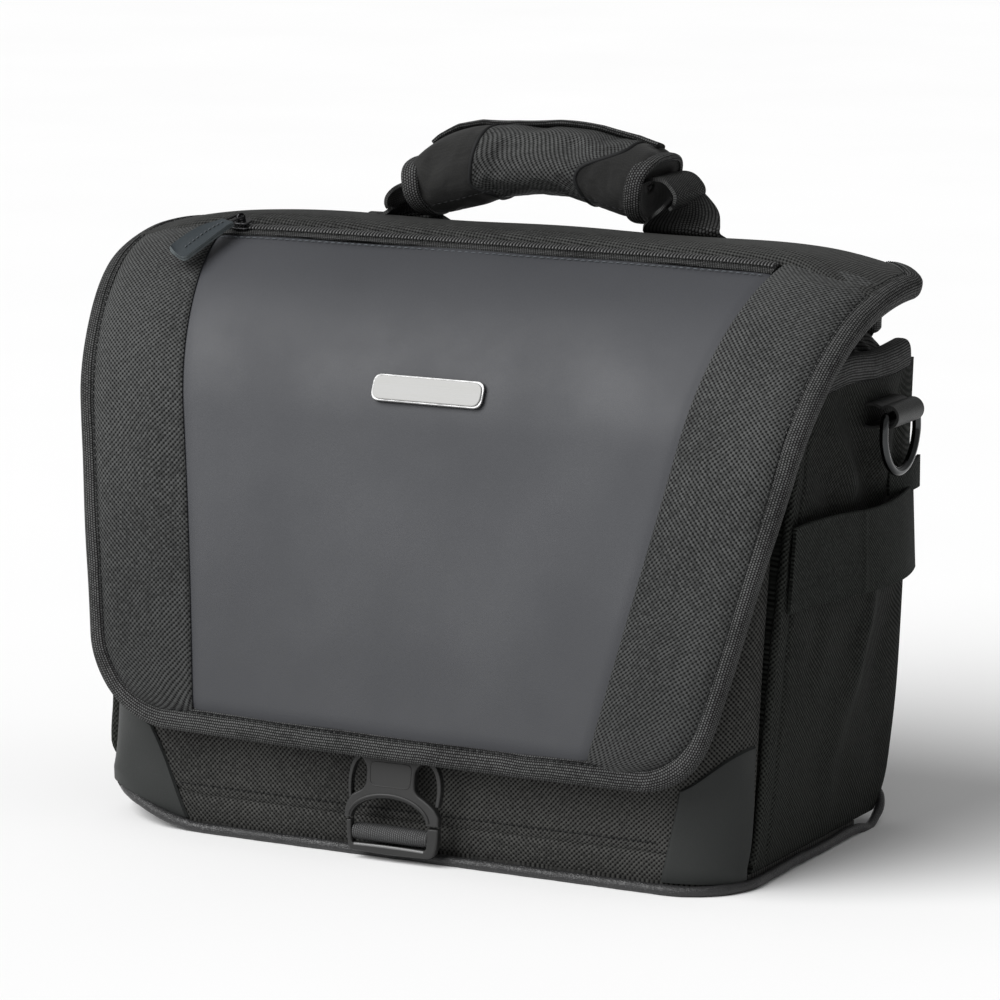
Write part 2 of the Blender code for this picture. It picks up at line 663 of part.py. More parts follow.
def build_buckle():
    # upper half, carried by the flap: a plate over an arch, with an arm at each side
    lean = Matrix.Rotation(math.radians(-7.0), 4, "X")
    upper = buckle_matrix(SPLIT_Z) @ lean
    half = [(0.0196 * x, 0.0100 * y) for x, y in reversed(arc((0, 0), 1.0, 0, 90, 6))]
    half += [(0.0262, 0.0), (0.0262, 0.0050), (0.0238, 0.0084), (0.0180, 0.0118),
             (0.0148, 0.0150), (0.0142, 0.0190), (0.0150, 0.0240), (0.0178, 0.0280),
             (0.0178, 0.0322)]
    plate("buckle_plate", [mirrored_outline(half)], BUCKLE_THICK, PLASTIC, upper)
    pivots = []
    for side, sign in SIDES:
        arm = [(0.0238, 0.0112), (0.0258, 0.0112), (0.0262, 0.0170), (0.0250, 0.0240),
               (0.0216, 0.0300), (0.0188, 0.0300), (0.0188, 0.0278), (0.0206, 0.0268),
               (0.0230, 0.0224), (0.0240, 0.0168)]
        plate("release_arm_" + side, [[(sign * x, y) for x, y in arm]], 0.0030, PLASTIC, upper)
        pivots.append(upper @ Vector((sign * 0.0200, 0.0288, 0)))

    # the webbing tab that carries it, sewn inside the hem of the flap
    def tab_point(u, v):
        start = upper @ Vector((0, 0.0327, 0))
        spot = flap_point(mix(0.010, 0.040, v), 0, 0.0094)
        rest = start.lerp(spot, smoothstep(v * 2.5))
        return Vector((mix(-1, 1, u) * 0.0165, rest.y, rest.z))
    sheet("buckle_tab", tab_point, (3, 7), 0.0014, WEBBING_MAT, side=0.0)

    # lower half: a frame, with the webbing that it is threaded on in its window
    lower = buckle_matrix(0.0)
    outer = [(0.0, 0.0028), (0.0215, 0.0028), (0.0240, 0.0050), (0.0262, 0.0120),
             (0.0262, SPLIT_Z - 0.0008), (0.0, SPLIT_Z - 0.0008)]
    window = [(-0.0196, 0.0068), (0.0196, 0.0068), (0.0204, 0.0160), (-0.0204, 0.0160)]
    plate("buckle_frame", [mirrored_outline(outer), window], BUCKLE_THICK, PLASTIC, lower)
    band = [(-0.0190, 0.0072), (0.0190, 0.0072), (0.0190, 0.0156), (-0.0190, 0.0156)]
    plate("frame_webbing", [band], 0.0024, WEBBING_MAT, lower)

    # the strap that ties the lower half to the base seam
    route = curve_through([(-0.0890, 0.0073), (-0.0950, 0.0070), (-0.0995, 0.0050),
                           (-0.1040, 0.0041)])
    sheet("base_strap", lambda u, v: Vector((mix(1, -1, u) * 0.0190, *route(v))), (3, 10),
          0.0012, WEBBING_MAT, side=0.0)
    return pivots


def set_pivot(names, spot):
    """Moves the objects' origins to spot, leaving their shapes where they are."""
    for name in names:
        obj = bpy.data.objects[name]
        turn = obj.matrix_world.to_3x3().to_4x4()
        new = Matrix.Translation(spot) @ turn
        obj.data.transform(new.inverted() @ obj.matrix_world)
        obj.matrix_world = new


FLAP_AXIS = Vector((0.0, 0.0895, 0.2310))
RING_AXIS = Vector((0.1862, 0.0460, 0.2020))
FLAP_PIECES = (
    "flap_pad", "flap_lining", "flap_centre_panel", "flap_side_panel_left",
    "flap_side_panel_right", "flap_top_panel", "flap_binding", "zip_tape", "zip_coil", "badge",
    "handle_anchor_left", "handle_anchor_right", "anchor_roll_left", "anchor_roll_right",
    "buckle_tab", "buckle_plate",
)


def clear_scene():
    for obj in list(bpy.data.objects):
        bpy.data.objects.remove(obj, do_unlink=True)


clear_scene()
BAG = bpy.data.collections.new("camera_bag")
CUTTERS = bpy.data.collections.new("cutters")
for group in (BAG, CUTTERS):
    bpy.context.scene.collection.children.link(group)

NYLON = make_material("ballistic_nylon", (0.020, 0.020, 0.021), 0.80)
LEATHER = make_material("smooth_leatherette", (0.060, 0.061, 0.066), 0.50)
BINDING = make_material("binding_tape", (0.016, 0.016, 0.016), 0.85)
PIPING = make_material("piping", (0.018, 0.018, 0.019), 0.45)
WEBBING_MAT = make_material("webbing", (0.014, 0.015, 0.015), 0.80)
RIBBED = make_material("ribbed_fabric", (0.018, 0.018, 0.018), 0.85)
LINING = make_material("lining", (0.110, 0.110, 0.115), 0.85)
FOAM = make_material("foam", (0.050, 0.050, 0.052), 0.90)
FABRIC_SOFT = make_material("grip_fabric", (0.020, 0.020, 0.020), 0.85)
BOARD = make_material("board", (0.030, 0.030, 0.030), 0.60)
METAL = make_material("metal", (0.450, 0.450, 0.450), 0.35, 1.0)
PLASTIC = make_material("moulded_plastic", (0.030, 0.030, 0.031), 0.45)

build_base()
build_walls()
build_rim()
build_pocket()
build_sides()
build_back()
build_flap()
SLIDER_FRAME, PULL_PIN = build_zip()
build_badge()
build_handle()
ARM_PIVOTS = build_buckle()

hinge = bpy.data.objects.new("flap_axis", None)
hinge.location = FLAP_AXIS
BAG.objects.link(hinge)
bpy.context.view_layer.update()
for piece in FLAP_PIECES:
    bpy.data.objects[piece].parent = hinge
    bpy.data.objects[piece].matrix_parent_inverse = hinge.matrix_world.inverted()
set_pivot(("handle_grip", "handle_strap_left", "handle_strap_right"), HANDLE_AXIS)
set_pivot(("pull_link", "pull_tab"), PULL_PIN)
set_pivot(("d_ring_right",), RING_AXIS)
set_pivot(("d_ring_left",), Vector((-RING_AXIS.x, RING_AXIS.y, RING_AXIS.z)))
set_pivot(("release_arm_left",), ARM_PIVOTS[0])
set_pivot(("release_arm_right",), ARM_PIVOTS[1])
set_pivot(("buckle_frame", "frame_webbing"), FRAME_AXIS)
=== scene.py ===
"""The looks of the camera bag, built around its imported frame.

Everything is in metres, in the frame of the CAD model: +Z is up, -Y is the front and the
bag stands on z = 0. Each soft piece is its own mesh, laid on the same curves as the CAD.
"""

import math

import bpy
import numpy as np
from mathutils import Matrix, Vector


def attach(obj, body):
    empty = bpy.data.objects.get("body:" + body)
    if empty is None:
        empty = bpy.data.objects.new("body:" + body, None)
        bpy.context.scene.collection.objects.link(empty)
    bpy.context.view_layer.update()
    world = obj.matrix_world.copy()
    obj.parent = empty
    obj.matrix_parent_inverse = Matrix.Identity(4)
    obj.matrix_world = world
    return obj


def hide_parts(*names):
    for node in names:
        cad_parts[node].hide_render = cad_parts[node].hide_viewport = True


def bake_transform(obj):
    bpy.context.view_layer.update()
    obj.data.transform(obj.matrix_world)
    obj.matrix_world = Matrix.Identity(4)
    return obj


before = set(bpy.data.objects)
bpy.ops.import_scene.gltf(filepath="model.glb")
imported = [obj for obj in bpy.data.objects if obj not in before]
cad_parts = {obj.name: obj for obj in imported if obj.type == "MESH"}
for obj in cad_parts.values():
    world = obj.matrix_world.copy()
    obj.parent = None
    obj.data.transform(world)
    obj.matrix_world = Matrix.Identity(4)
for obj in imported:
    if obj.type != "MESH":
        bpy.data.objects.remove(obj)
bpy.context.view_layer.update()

# ---------------------------------------------------------------- the bag's own curves
BASE_HALF = 0.1665              # half the width of the body at its base
BASE_FRONT = -0.0878            # front edge of the base, under the front pocket
BASE_BACK = 0.0450              # where the flat base turns up into the back
BACK_TURN = 0.0360              # radius of that turn
RIM_Z = 0.2215                  # top of the padded walls
RIM_SPREAD = 0.0080             # how much wider each side is at the rim
WALL = 0.0080                   # padded wall

FLAP_HEM = (-0.1120, 0.0535)    # lower edge of the flap: Y and Z
FLAP_LEAN = math.radians(73.2)  # how steeply the front of the flap rises
FLAP_FRONT = 0.1495             # straight length from the hem up
FLAP_BEND = 0.0985              # radius over the front shoulder
FLAP_BACK_BEND = 0.0760         # radius behind the ridge
FLAP_BACK_TURN = math.radians(54.0)
FLAP_HEM_HALF = 0.1560          # half the flap's width at the hem, the ridge and the hinge
FLAP_RIDGE_HALF = 0.2050
FLAP_HINGE_HALF = 0.1590
RIDGE_S = FLAP_FRONT + FLAP_BEND * FLAP_LEAN
FLAP_LENGTH = RIDGE_S + FLAP_BACK_BEND * FLAP_BACK_TURN
ZIP_S = 0.2478                  # place of the zip along the flap, from the hem
ZIP_HALF = 0.1455
SIDES = (("left", -1), ("right", 1))

SHEET_SHARP = math.radians(40)  # edges sharper than this stay sharp
TUBE_SHARP = math.radians(50)


def smoothstep(t):
    t = np.clip(t, 0.0, 1.0)
    return t * t * (3 - 2 * t)


def mix(a, b, t):
    return a + (b - a) * t


def bell(distance, width):
    """1 in the middle, falling off smoothly with the distance from it."""
    return np.exp(-(distance / width) ** 2)


def quarter(t):
    """Rises from 0 to 1 like a quarter circle, as t does."""
    return np.sqrt(np.clip(1 - np.clip(1 - t, 0, 1) ** 2, 0, 1))


def unit(vectors):
    return vectors / np.linalg.norm(vectors, axis=-1, keepdims=True)


def reach_of(points):
    """How far each point lies along a line of points, in metres from its start."""
    steps = np.linalg.norm(np.diff(points, axis=0), axis=1)
    return np.concatenate([[0], np.cumsum(steps)])


def between(table, knots, goal):
    """Rows of a smooth curve through the rows of a table that lie at the distances knots."""
    i = np.clip(np.searchsorted(knots, goal, side="right") - 1, 0, len(table) - 2)
    f = ((goal - knots[i]) / (knots[i + 1] - knots[i]))[:, None]
    before, start = table[np.maximum(i - 1, 0)], table[i]
    end, after = table[i + 1], table[np.minimum(i + 2, len(table) - 1)]
    return (start * (2 * f**3 - 3 * f**2 + 1) + (end - before) * 0.5 * (f**3 - 2 * f**2 + f)
            + end * (3 * f**2 - 2 * f**3) + (after - start) * 0.5 * (f**3 - f**2))


def spline(points, samples=240):
    """Evenly spread samples of a smooth curve through points."""
    points = np.array(points, float)
    knots = reach_of(points)
    return between(points, knots, np.linspace(0, knots[-1], samples))


def along(samples, t):
    """Points at the shares t, from 0 to 1, of a sampled curve."""
    t = np.asarray(t, float)
    steps = np.linspace(0, 1, len(samples))
    return np.stack([np.interp(t, steps, samples[:, k]) for k in range(samples.shape[1])], -1)


FRONT_LINE = spline([(-0.0720, 0.0100), (-0.0665, 0.0240), (-0.0610, 0.0660),
                     (-0.0550, 0.1160), (-0.0440, 0.1790), (-0.0290, RIM_Z)])
BACK_LINE = spline([(BASE_BACK + BACK_TURN, BACK_TURN), (0.0865, 0.0700), (0.0880, 0.1300),
                    (0.0880, RIM_Z)])
POCKET_LINE = spline([(-0.0912, 0.0044), (-0.0928, 0.0175), (-0.0938, 0.0300),
                      (-0.0950, 0.0480), (-0.0940, 0.0620), (-0.0893, 0.0900),
                      (-0.0780, 0.1300), (-0.0662, 0.1680)])
FLAP_CROWN = spline([(0.0, 0.002), (0.100, 0.004), (0.190, 0.008), (RIDGE_S, 0.0135),
                     (0.320, 0.009), (FLAP_LENGTH, 0.0)])


def y_at(line, z):
    """Y of a rising line at height z."""
    return np.interp(z, line[:, 1], line[:, 0])


def side_x(z):
    return BASE_HALF + RIM_SPREAD * z / RIM_Z


# ---------------------------------------------------------------- the flap's surface
def flap_profile(s):
    """Y, Z and the outward normal of the flap's bound edge, s metres up from the hem."""
    s = np.asarray(s, float)
    lean_y, lean_z = math.cos(FLAP_LEAN), math.sin(FLAP_LEAN)
    top = (FLAP_HEM[0] + lean_y * FLAP_FRONT, FLAP_HEM[1] + lean_z * FLAP_FRONT)
    over = FLAP_LEAN - (s - FLAP_FRONT) / FLAP_BEND
    ridge = (top[0] + FLAP_BEND * lean_z, top[1] + FLAP_BEND * (1 - lean_y))
    down = (s - RIDGE_S) / FLAP_BACK_BEND
    on_front, on_bend = s <= FLAP_FRONT, s <= RIDGE_S
    y = np.where(on_front, FLAP_HEM[0] + lean_y * s, np.where(
        on_bend, top[0] + FLAP_BEND * (lean_z - np.sin(over)),
        ridge[0] + FLAP_BACK_BEND * np.sin(down)))
    z = np.where(on_front, FLAP_HEM[1] + lean_z * s, np.where(
        on_bend, top[1] + FLAP_BEND * (np.cos(over) - lean_y),
        ridge[1] + FLAP_BACK_BEND * (np.cos(down) - 1)))
    ny = np.where(on_front, -lean_z, np.where(on_bend, -np.sin(over), np.sin(down)))
    nz = np.where(on_front, lean_y, np.where(on_bend, np.cos(over), np.cos(down)))
    return y, z, ny, nz


def flap_full(s):
    """Half the flap's width, with no regard to its rounded corners."""
    s = np.asarray(s, float)
    rising = mix(FLAP_HEM_HALF, FLAP_RIDGE_HALF, (np.clip(s, 0, RIDGE_S) / RIDGE_S) ** 0.8)
    back = np.clip((s - RIDGE_S) / (FLAP_LENGTH - RIDGE_S), 0, 1)
    falling = mix(FLAP_RIDGE_HALF, FLAP_HINGE_HALF, 1 - (1 - back ** 1.15) ** 1.8)
    return np.where(s <= RIDGE_S, rising, falling)


def flap_surface(s, x, depth=0.0):
    """Points of the flap's outer face, or depth metres inside it."""
    s, x, depth = np.broadcast_arrays(np.asarray(s, float), x, depth)
    y, z, ny, nz = flap_profile(s)
    full = np.where(s > RIDGE_S, FLAP_RIDGE_HALF, flap_full(s))
    crown = np.interp(s, FLAP_CROWN[:, 0], FLAP_CROWN[:, 1])
    lift = crown * (1 - np.minimum(1.0, np.abs(x) / full) ** 7) - depth
    return np.stack([x, y + ny * lift, z + nz * lift], -1)


def seam_half(s):
    """Half the width of the smooth middle panel."""
    return 0.102 + 0.1833 * np.asarray(s, float)


# ---------------------------------------------------------------- mesh building
def spaced(points, axis):
    """How far each point of a grid lies along its row, in metres, from the row's middle."""
    steps = np.linalg.norm(np.diff(points, axis=axis), axis=-1)
    reach = np.cumsum(steps, axis=axis)
    zero = np.zeros_like(np.take(reach, [0], axis=axis))
    reach = np.concatenate([zero, reach], axis=axis)
    middle = np.take(reach, [reach.shape[axis] // 2], axis=axis)
    return reach - middle


def normals_of(points):
    """Normals of a grid of points, rows by columns, from the column and row directions."""
    normal = np.cross(np.gradient(points, axis=1), np.gradient(points, axis=0))
    return normal / np.maximum(np.linalg.norm(normal, axis=-1, keepdims=True), 1e-12)


def make_piece(name, verts, faces, uvs, materials, slots=None, smooth=True):
    """A mesh object from vertices, faces, one UV per face corner, and face materials."""
    mesh = bpy.data.meshes.new(name)
    mesh.from_pydata([tuple(v) for v in verts], [], faces)
    layer = mesh.uv_layers.new(name="weave")
    layer.data.foreach_set("uv", np.asarray(uvs, np.float32).ravel())
    for material in materials:
        mesh.materials.append(material)
    if slots is not None:
        mesh.polygons.foreach_set("material_index", np.asarray(slots, np.int32))
    if smooth:
        mesh.shade_smooth()
    mesh.validate()
    mesh.update()
    obj = bpy.data.objects.new(name, mesh)
    bpy.context.scene.collection.objects.link(obj)
    return obj


def fasten(obj, body, stands_for=()):
    """Ties a piece to its CAD body, or only bakes its transform when body is a tuple, and hides
    the CAD nodes that it stands for.
    """
    if isinstance(body, tuple):
        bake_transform(obj)
    else:
        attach(obj, body)
    if stands_for:
        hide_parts(*stands_for)
    return obj


def shell(name, outer, thickness, materials):
    """A closed sheet: outer is a grid of points, and the inner face lies thickness inside it.
    The first material is the outer face's and the last one the inner face's."""
    rows, columns = outer.shape[:2]
    normal = normals_of(outer)
    thickness = np.broadcast_to(np.asarray(thickness, float), outer.shape[:2])[..., None]
    inner = outer - normal * thickness
    u, v = spaced(outer, 1), spaced(outer, 0)
    verts = np.concatenate([outer.reshape(-1, 3), inner.reshape(-1, 3)])
    uv = np.stack([u, v], -1).reshape(-1, 2)
    uv = np.concatenate([uv, uv])
    size = rows * columns
    faces, slots = [], []
    for i in range(rows - 1):
        for j in range(columns - 1):
            a = i * columns + j
            faces.append((a, a + 1, a + 1 + columns, a + columns))
            slots.append(0)
            a += size
            faces.append((a, a + columns, a + 1 + columns, a + 1))
            slots.append(len(materials) - 1)
    rim = list(range(columns))
    rim += [i * columns + columns - 1 for i in range(1, rows)]
    rim += [(rows - 1) * columns + j for j in range(columns - 2, -1, -1)]
    rim += [i * columns for i in range(rows - 2, 0, -1)]
    for a, b in zip(rim, rim[1:] + rim[:1]):
        faces.append((b, a, a + size, b + size))
        slots.append(0)
    corners = [uv[k] for face in faces for k in face]
    obj = make_piece(name, verts, faces, corners, materials, slots)
    obj.data.set_sharp_from_angle(angle=SHEET_SHARP)
    return obj


def grid(surface, columns, rows):
    """Points of surface(u, v) on a grid; u and v run from 0 to 1."""
    u, v = np.meshgrid(np.linspace(0, 1, columns + 1), np.linspace(0, 1, rows + 1))
    return surface(u, v)


def girth_of(rings):
    """How far round its ring each point lies, with the full girth as a last column."""
    closed = np.concatenate([rings, rings[:, :1]], axis=1)
    girth = np.cumsum(np.linalg.norm(np.diff(closed, axis=1), axis=-1), axis=1)
    return np.concatenate([np.zeros((len(rings), 1)), girth], axis=1)


def sweep(name, rings, materials, cyclic=False):
    """A tube through rings of points, stations by points around, closed at its ends."""
    stations, around = rings.shape[:2]
    lengths = spaced(rings, 0).mean(axis=1)
    girth = girth_of(rings)
    verts = rings.reshape(-1, 3)
    faces, corners = [], []
    last = stations if cyclic else stations - 1
    for i in range(last):
        k = (i + 1) % stations
        end = lengths[k] if k else lengths[-1] + (lengths[-1] - lengths[-2])
        for j in range(around):
            m = (j + 1) % around
            faces.append((i * around + j, i * around + m, k * around + m, k * around + j))
            corners += [(lengths[i], girth[i, j]), (lengths[i], girth[i, j + 1]),
                        (end, girth[k, j + 1]), (end, girth[k, j])]
    if not cyclic:
        faces.append(tuple(range(around))[::-1])
        corners += [(0.0, 0.0)] * around
        faces.append(tuple((stations - 1) * around + j for j in range(around)))
        corners += [(0.0, 0.0)] * around
    obj = make_piece(name, verts, faces, corners, materials)
    obj.data.set_sharp_from_angle(angle=TUBE_SHARP)
    return obj


def frames_along(path, up, cyclic=False):
    """Side and up vectors at each point of a path. up is a vector, or one for each point."""
    if cyclic:
        tangent = np.roll(path, -1, axis=0) - np.roll(path, 1, axis=0)
    else:
        tangent = np.gradient(path, axis=0)
    tangent = unit(tangent)
    up = np.broadcast_to(np.asarray(up, float), path.shape)
    side = unit(np.cross(tangent, up))
    return side, np.cross(side, tangent)


def tube_rings(path, radius, sides=14, up=(0, 0, 1), cyclic=False):
    """Round rings of points along a path."""
    side, over = frames_along(path, up, cyclic)
    radius = np.broadcast_to(np.asarray(radius, float), (len(path),))
    angle = np.linspace(0, 2 * math.pi, sides, endpoint=False)
    spread = side[:, None] * np.cos(angle)[None, :, None] + over[:, None] * np.sin(
        angle)[None, :, None]
    return path[:, None] + spread * radius[:, None, None]


def super_ring(half_w, half_h, power, count):
    """A ring between an ellipse and a rectangle."""
    angle = np.linspace(0, 2 * math.pi, count, endpoint=False)
    c, s = np.cos(angle), np.sin(angle)
    return (half_w * np.sign(c) * np.abs(c) ** (2 / power),
            half_h * np.sign(s) * np.abs(s) ** (2 / power))


def tape_rings(path, side, up, *shape):
    """Rings along a path, wide in the side direction; shape is what super_ring takes."""
    a, b = super_ring(*shape)
    return path[:, None] + side[:, None] * a[None, :, None] + up[:, None] * b[None, :, None]


def resample(path, step):
    """The same path with a point every step metres."""
    path = np.asarray(path, float)
    reach = reach_of(path)
    goal = np.linspace(0, reach[-1], max(2, int(round(reach[-1] / step)) + 1))
    return np.stack([np.interp(goal, reach, path[:, k]) for k in range(3)], -1)


def tube_faces(stations, sides, base=0):
    """The four-sided faces of a tube of rings whose points start at the vertex base."""
    faces = []
    for i in range(stations - 1):
        for j in range(sides):
            m = (j + 1) % sides
            faces.append((base + i * sides + j, base + i * sides + m,
                          base + (i + 1) * sides + m, base + (i + 1) * sides + j))
    return faces


def beads(name, tubes, material):
    """One mesh of many short closed tubes, each given by its rings."""
    verts, faces = [], []
    for rings in tubes:
        stations, sides = rings.shape[:2]
        base = len(verts)
        verts += list(rings.reshape(-1, 3))
        faces += tube_faces(stations, sides, base)
        faces.append(tuple(base + j for j in range(sides))[::-1])
        faces.append(tuple(base + (stations - 1) * sides + j for j in range(sides)))
    uvs = [(0.0, 0.0)] * sum(len(f) for f in faces)
    return make_piece(name, verts, faces, uvs, [material])


def stitches(name, path, normals, material, pitch=0.0034, length=0.0024, radius=0.00030,
             lift=0.0001):
    """A row of sewn stitches along a path: each is a short low arch of thread."""
    path = np.asarray(path, float)
    reach = reach_of(path)
    normals = np.broadcast_to(np.asarray(normals, float), path.shape)
    count = int(reach[-1] / pitch)
    stations = 5
    arch = np.sin(np.linspace(0, math.pi, stations)) * radius * 1.2 + lift
    thin = radius * (0.45 + 0.55 * np.sin(np.linspace(0.25, math.pi - 0.25, stations)))

    def at(values, where):
        return np.stack([np.interp(where, reach, values[:, k]) for k in range(3)], -1)
    threads = []
    for n in range(count):
        start = n * pitch + (reach[-1] - count * pitch) / 2
        where = start + length * np.linspace(0, 1, stations)
        line, up = at(path, where), at(normals, where)
        threads.append(tube_rings(line + up * arch[:, None], thin, 5, up=up))
    return beads(name, threads, material)


def plate(name, outlines, thickness, material, matrix, bevel=0.0006, segments=3):
    """A moulded plate with rounded edges: the first outline is its edge, the others holes."""
    curve = bpy.data.curves.new(name, "CURVE")
    curve.dimensions = "2D"
    curve.fill_mode = "BOTH"
    curve.extrude = thickness / 2 - bevel
    curve.bevel_depth = bevel
    curve.bevel_resolution = segments
    curve.offset = -bevel
    for outline in outlines:
        line = curve.splines.new("POLY")
        line.points.add(len(outline) - 1)
        for spot, (x, y) in zip(line.points, outline):
            spot.co = (x, y, 0.0, 1.0)
        line.use_cyclic_u = True
    holder = bpy.data.objects.new(name, curve)
    bpy.context.scene.collection.objects.link(holder)
    bpy.context.view_layer.update()
    mesh = bpy.data.meshes.new_from_object(
        holder.evaluated_get(bpy.context.evaluated_depsgraph_get()))
    bpy.data.objects.remove(holder)
    mesh.name = name
    mesh.transform(matrix)
    mesh.materials.clear()
    mesh.materials.append(material)
    mesh.shade_smooth()
    mesh.set_sharp_from_angle(angle=TUBE_SHARP)
    obj = bpy.data.objects.new(name, mesh)
    bpy.context.scene.collection.objects.link(obj)
    return obj


def arc(centre, radius, start, end, steps):
    angle = np.radians(np.linspace(start, end, steps + 1))
    return [(centre[0] + radius * math.cos(a), centre[1] + radius * math.sin(a)) for a in angle]


def rounded(outline, radius, steps=6):
    """A closed outline with each corner turned by an arc of about that radius."""
    points = [Vector(p) for p in outline]
    out = []
    for i, corner in enumerate(points):
        before, after = points[i - 1], points[(i + 1) % len(points)]
        to_before, to_after = before - corner, after - corner
        reach = min(radius, 0.45 * to_before.length, 0.45 * to_after.length)
        start = corner + to_before.normalized() * reach
        end = corner + to_after.normalized() * reach
        for k in range(steps + 1):
            t = k / steps
            out.append(tuple(start.lerp(corner, t).lerp(corner.lerp(end, t), t)))
    return out


# ---------------------------------------------------------------- materials
class Finish:
    """One procedural material, with short ways to add and join its nodes."""

    def __init__(self, name, colour=(0.02, 0.02, 0.02), roughness=0.5, **settings):
        self.material = bpy.data.materials.new(name)
        self.material.use_nodes = True
        self.tree = self.material.node_tree
        self.tree.nodes.clear()
        self.shader = self.add("ShaderNodeBsdfPrincipled")
        out = self.add("ShaderNodeOutputMaterial")
        self.tree.links.new(self.shader.outputs[0], out.inputs["Surface"])
        self.shader.inputs["Base Color"].default_value = (*colour, 1)
        self.shader.inputs["Roughness"].default_value = roughness
        for key, value in settings.items():
            self.shader.inputs[key.replace("_", " ")].default_value = value
        self.material.diffuse_color = (*colour, 1)

    def add(self, kind, **settings):
        node = self.tree.nodes.new(kind)
        for key, value in settings.items():
            setattr(node, key, value)
        return node

    def join(self, value, socket):
        if isinstance(value, (int, float, tuple)):
            socket.default_value = value
        else:
            self.tree.links.new(value, socket)

    def maths(self, operation, *values, clamp=False):
        node = self.add("ShaderNodeMath", operation=operation, use_clamp=clamp)
        for value, socket in zip(values, node.inputs):
            self.join(value, socket)
        return node.outputs[0]

    def spread(self, value, low, high, to_low=0.0, to_high=1.0):
        node = self.add("ShaderNodeMapRange", interpolation_type="SMOOTHSTEP")
        for spot, number in zip(node.inputs, (value, low, high, to_low, to_high)):
            self.join(number, spot)
        return node.outputs[0]

    def blend(self, share, first, second):
        node = self.add("ShaderNodeMix", data_type="RGBA")
        self.join(share, node.inputs[0])
        self.join((*first, 1.0) if isinstance(first, tuple) else first, node.inputs[6])
        self.join((*second, 1.0) if isinstance(second, tuple) else second, node.inputs[7])
        return node.outputs[2]

    def place(self):
        return self.add("ShaderNodeTexCoord").outputs["Object"]

    def weave_uv(self):
        split = self.add("ShaderNodeSeparateXYZ")
        self.join(self.add("ShaderNodeUVMap", uv_map="weave").outputs[0], split.inputs[0])
        return split.outputs[0], split.outputs[1]

    def fade(self, share, painted_shade_ramp):
        """share, less below the middle of the cloth, as a painted shade on its lower part: the
        ramp is (from, to, least).
        """
        if painted_shade_ramp is None:
            return share
        return self.maths("MULTIPLY", share, self.spread(self.weave_uv()[1], *painted_shade_ramp))

    def noise(self, scale, detail, stretch=None):
        vector = self.place()
        if stretch:
            scaler = self.add("ShaderNodeMapping")
            self.join(vector, scaler.inputs["Vector"])
            scaler.inputs["Scale"].default_value = stretch
            vector = scaler.outputs[0]
        node = self.add("ShaderNodeTexNoise")
        self.join(vector, node.inputs["Vector"])
        node.inputs["Scale"].default_value = scale
        node.inputs["Detail"].default_value = detail
        node.inputs["Roughness"].default_value = 0.55
        return node.outputs[0]

    def bump(self, height, distance, strength):
        node = self.add("ShaderNodeBump")
        node.inputs["Strength"].default_value = strength
        node.inputs["Distance"].default_value = distance
        self.join(height, node.inputs["Height"])
        return node.outputs[0]

    def finish(self, colour=None, roughness=None, normal=None):
        for value, name in ((colour, "Base Color"), (roughness, "Roughness"),
                            (normal, "Normal")):
            if value is not None:
                self.join(value, self.shader.inputs[name])
        return self.material


def woven(name, dark, light, pitch=0.00120, turn=0.0, depth=0.00030, roughness=0.62,
          weft=0.0, painted_shade_ramp=None, **settings):
    """Heavy plain weave: a net of warp floats with dips at the weft between. The floats are
    coloured bright as painted glints and the dips dark as painted shade.
    """
    settings.setdefault("Specular_IOR_Level", 0.10)
    f = Finish(name, colour=light, roughness=roughness, **settings)
    u, v = f.weave_uv()
    if turn:
        c, s = math.cos(math.radians(turn)), math.sin(math.radians(turn))
        u, v = (f.maths("ADD", f.maths("MULTIPLY", u, c), f.maths("MULTIPLY", v, s)),
                f.maths("SUBTRACT", f.maths("MULTIPLY", v, c), f.maths("MULTIPLY", u, s)))
    wave = f.noise(26.0, 2.0)
    drift = f.maths("MULTIPLY", f.maths("SUBTRACT", wave, 0.5), 0.004)
    u = f.maths("DIVIDE", f.maths("ADD", u, drift), pitch)
    v = f.maths("DIVIDE", f.maths("SUBTRACT", v, drift), pitch)
    angles = [f.maths("MULTIPLY", k, math.pi) for k in (u, v)]
    crests = f.maths("MULTIPLY", *[f.maths("COSINE", k) for k in angles])
    skew = f.maths("MULTIPLY", *[f.maths("SINE", k) for k in angles])
    lean = f.spread(f.noise(14.0, 2.0), 0.35, 0.65, -0.25, 0.25)
    height = f.maths("ADD", crests, f.maths("MULTIPLY", skew, lean))
    cell = f.add("ShaderNodeCombineXYZ")
    f.join(f.maths("ROUND", u), cell.inputs[0])
    f.join(f.maths("ROUND", v), cell.inputs[1])
    grainy = f.add("ShaderNodeTexWhiteNoise", noise_dimensions="2D")
    f.join(cell.outputs[0], grainy.inputs["Vector"])
    uneven = f.maths("ADD", f.maths("MULTIPLY", grainy.outputs[0], 0.5),
                     f.spread(f.noise(9.0, 3.0), 0.25, 0.75, 0.35, 0.85))
    # painted glints on the warp floats, painted shade in the dips at the weft
    painted_glint_net = f.spread(height, -0.95, 0.60, weft, 1.0)
    share = f.maths("MULTIPLY", painted_glint_net, uneven, clamp=True)
    rough = f.spread(height, -0.5, 1.0, roughness + 0.2, roughness - 0.08)
    return f.finish(f.blend(f.fade(share, painted_shade_ramp), dark, light), rough, f.bump(height, depth, 0.5))


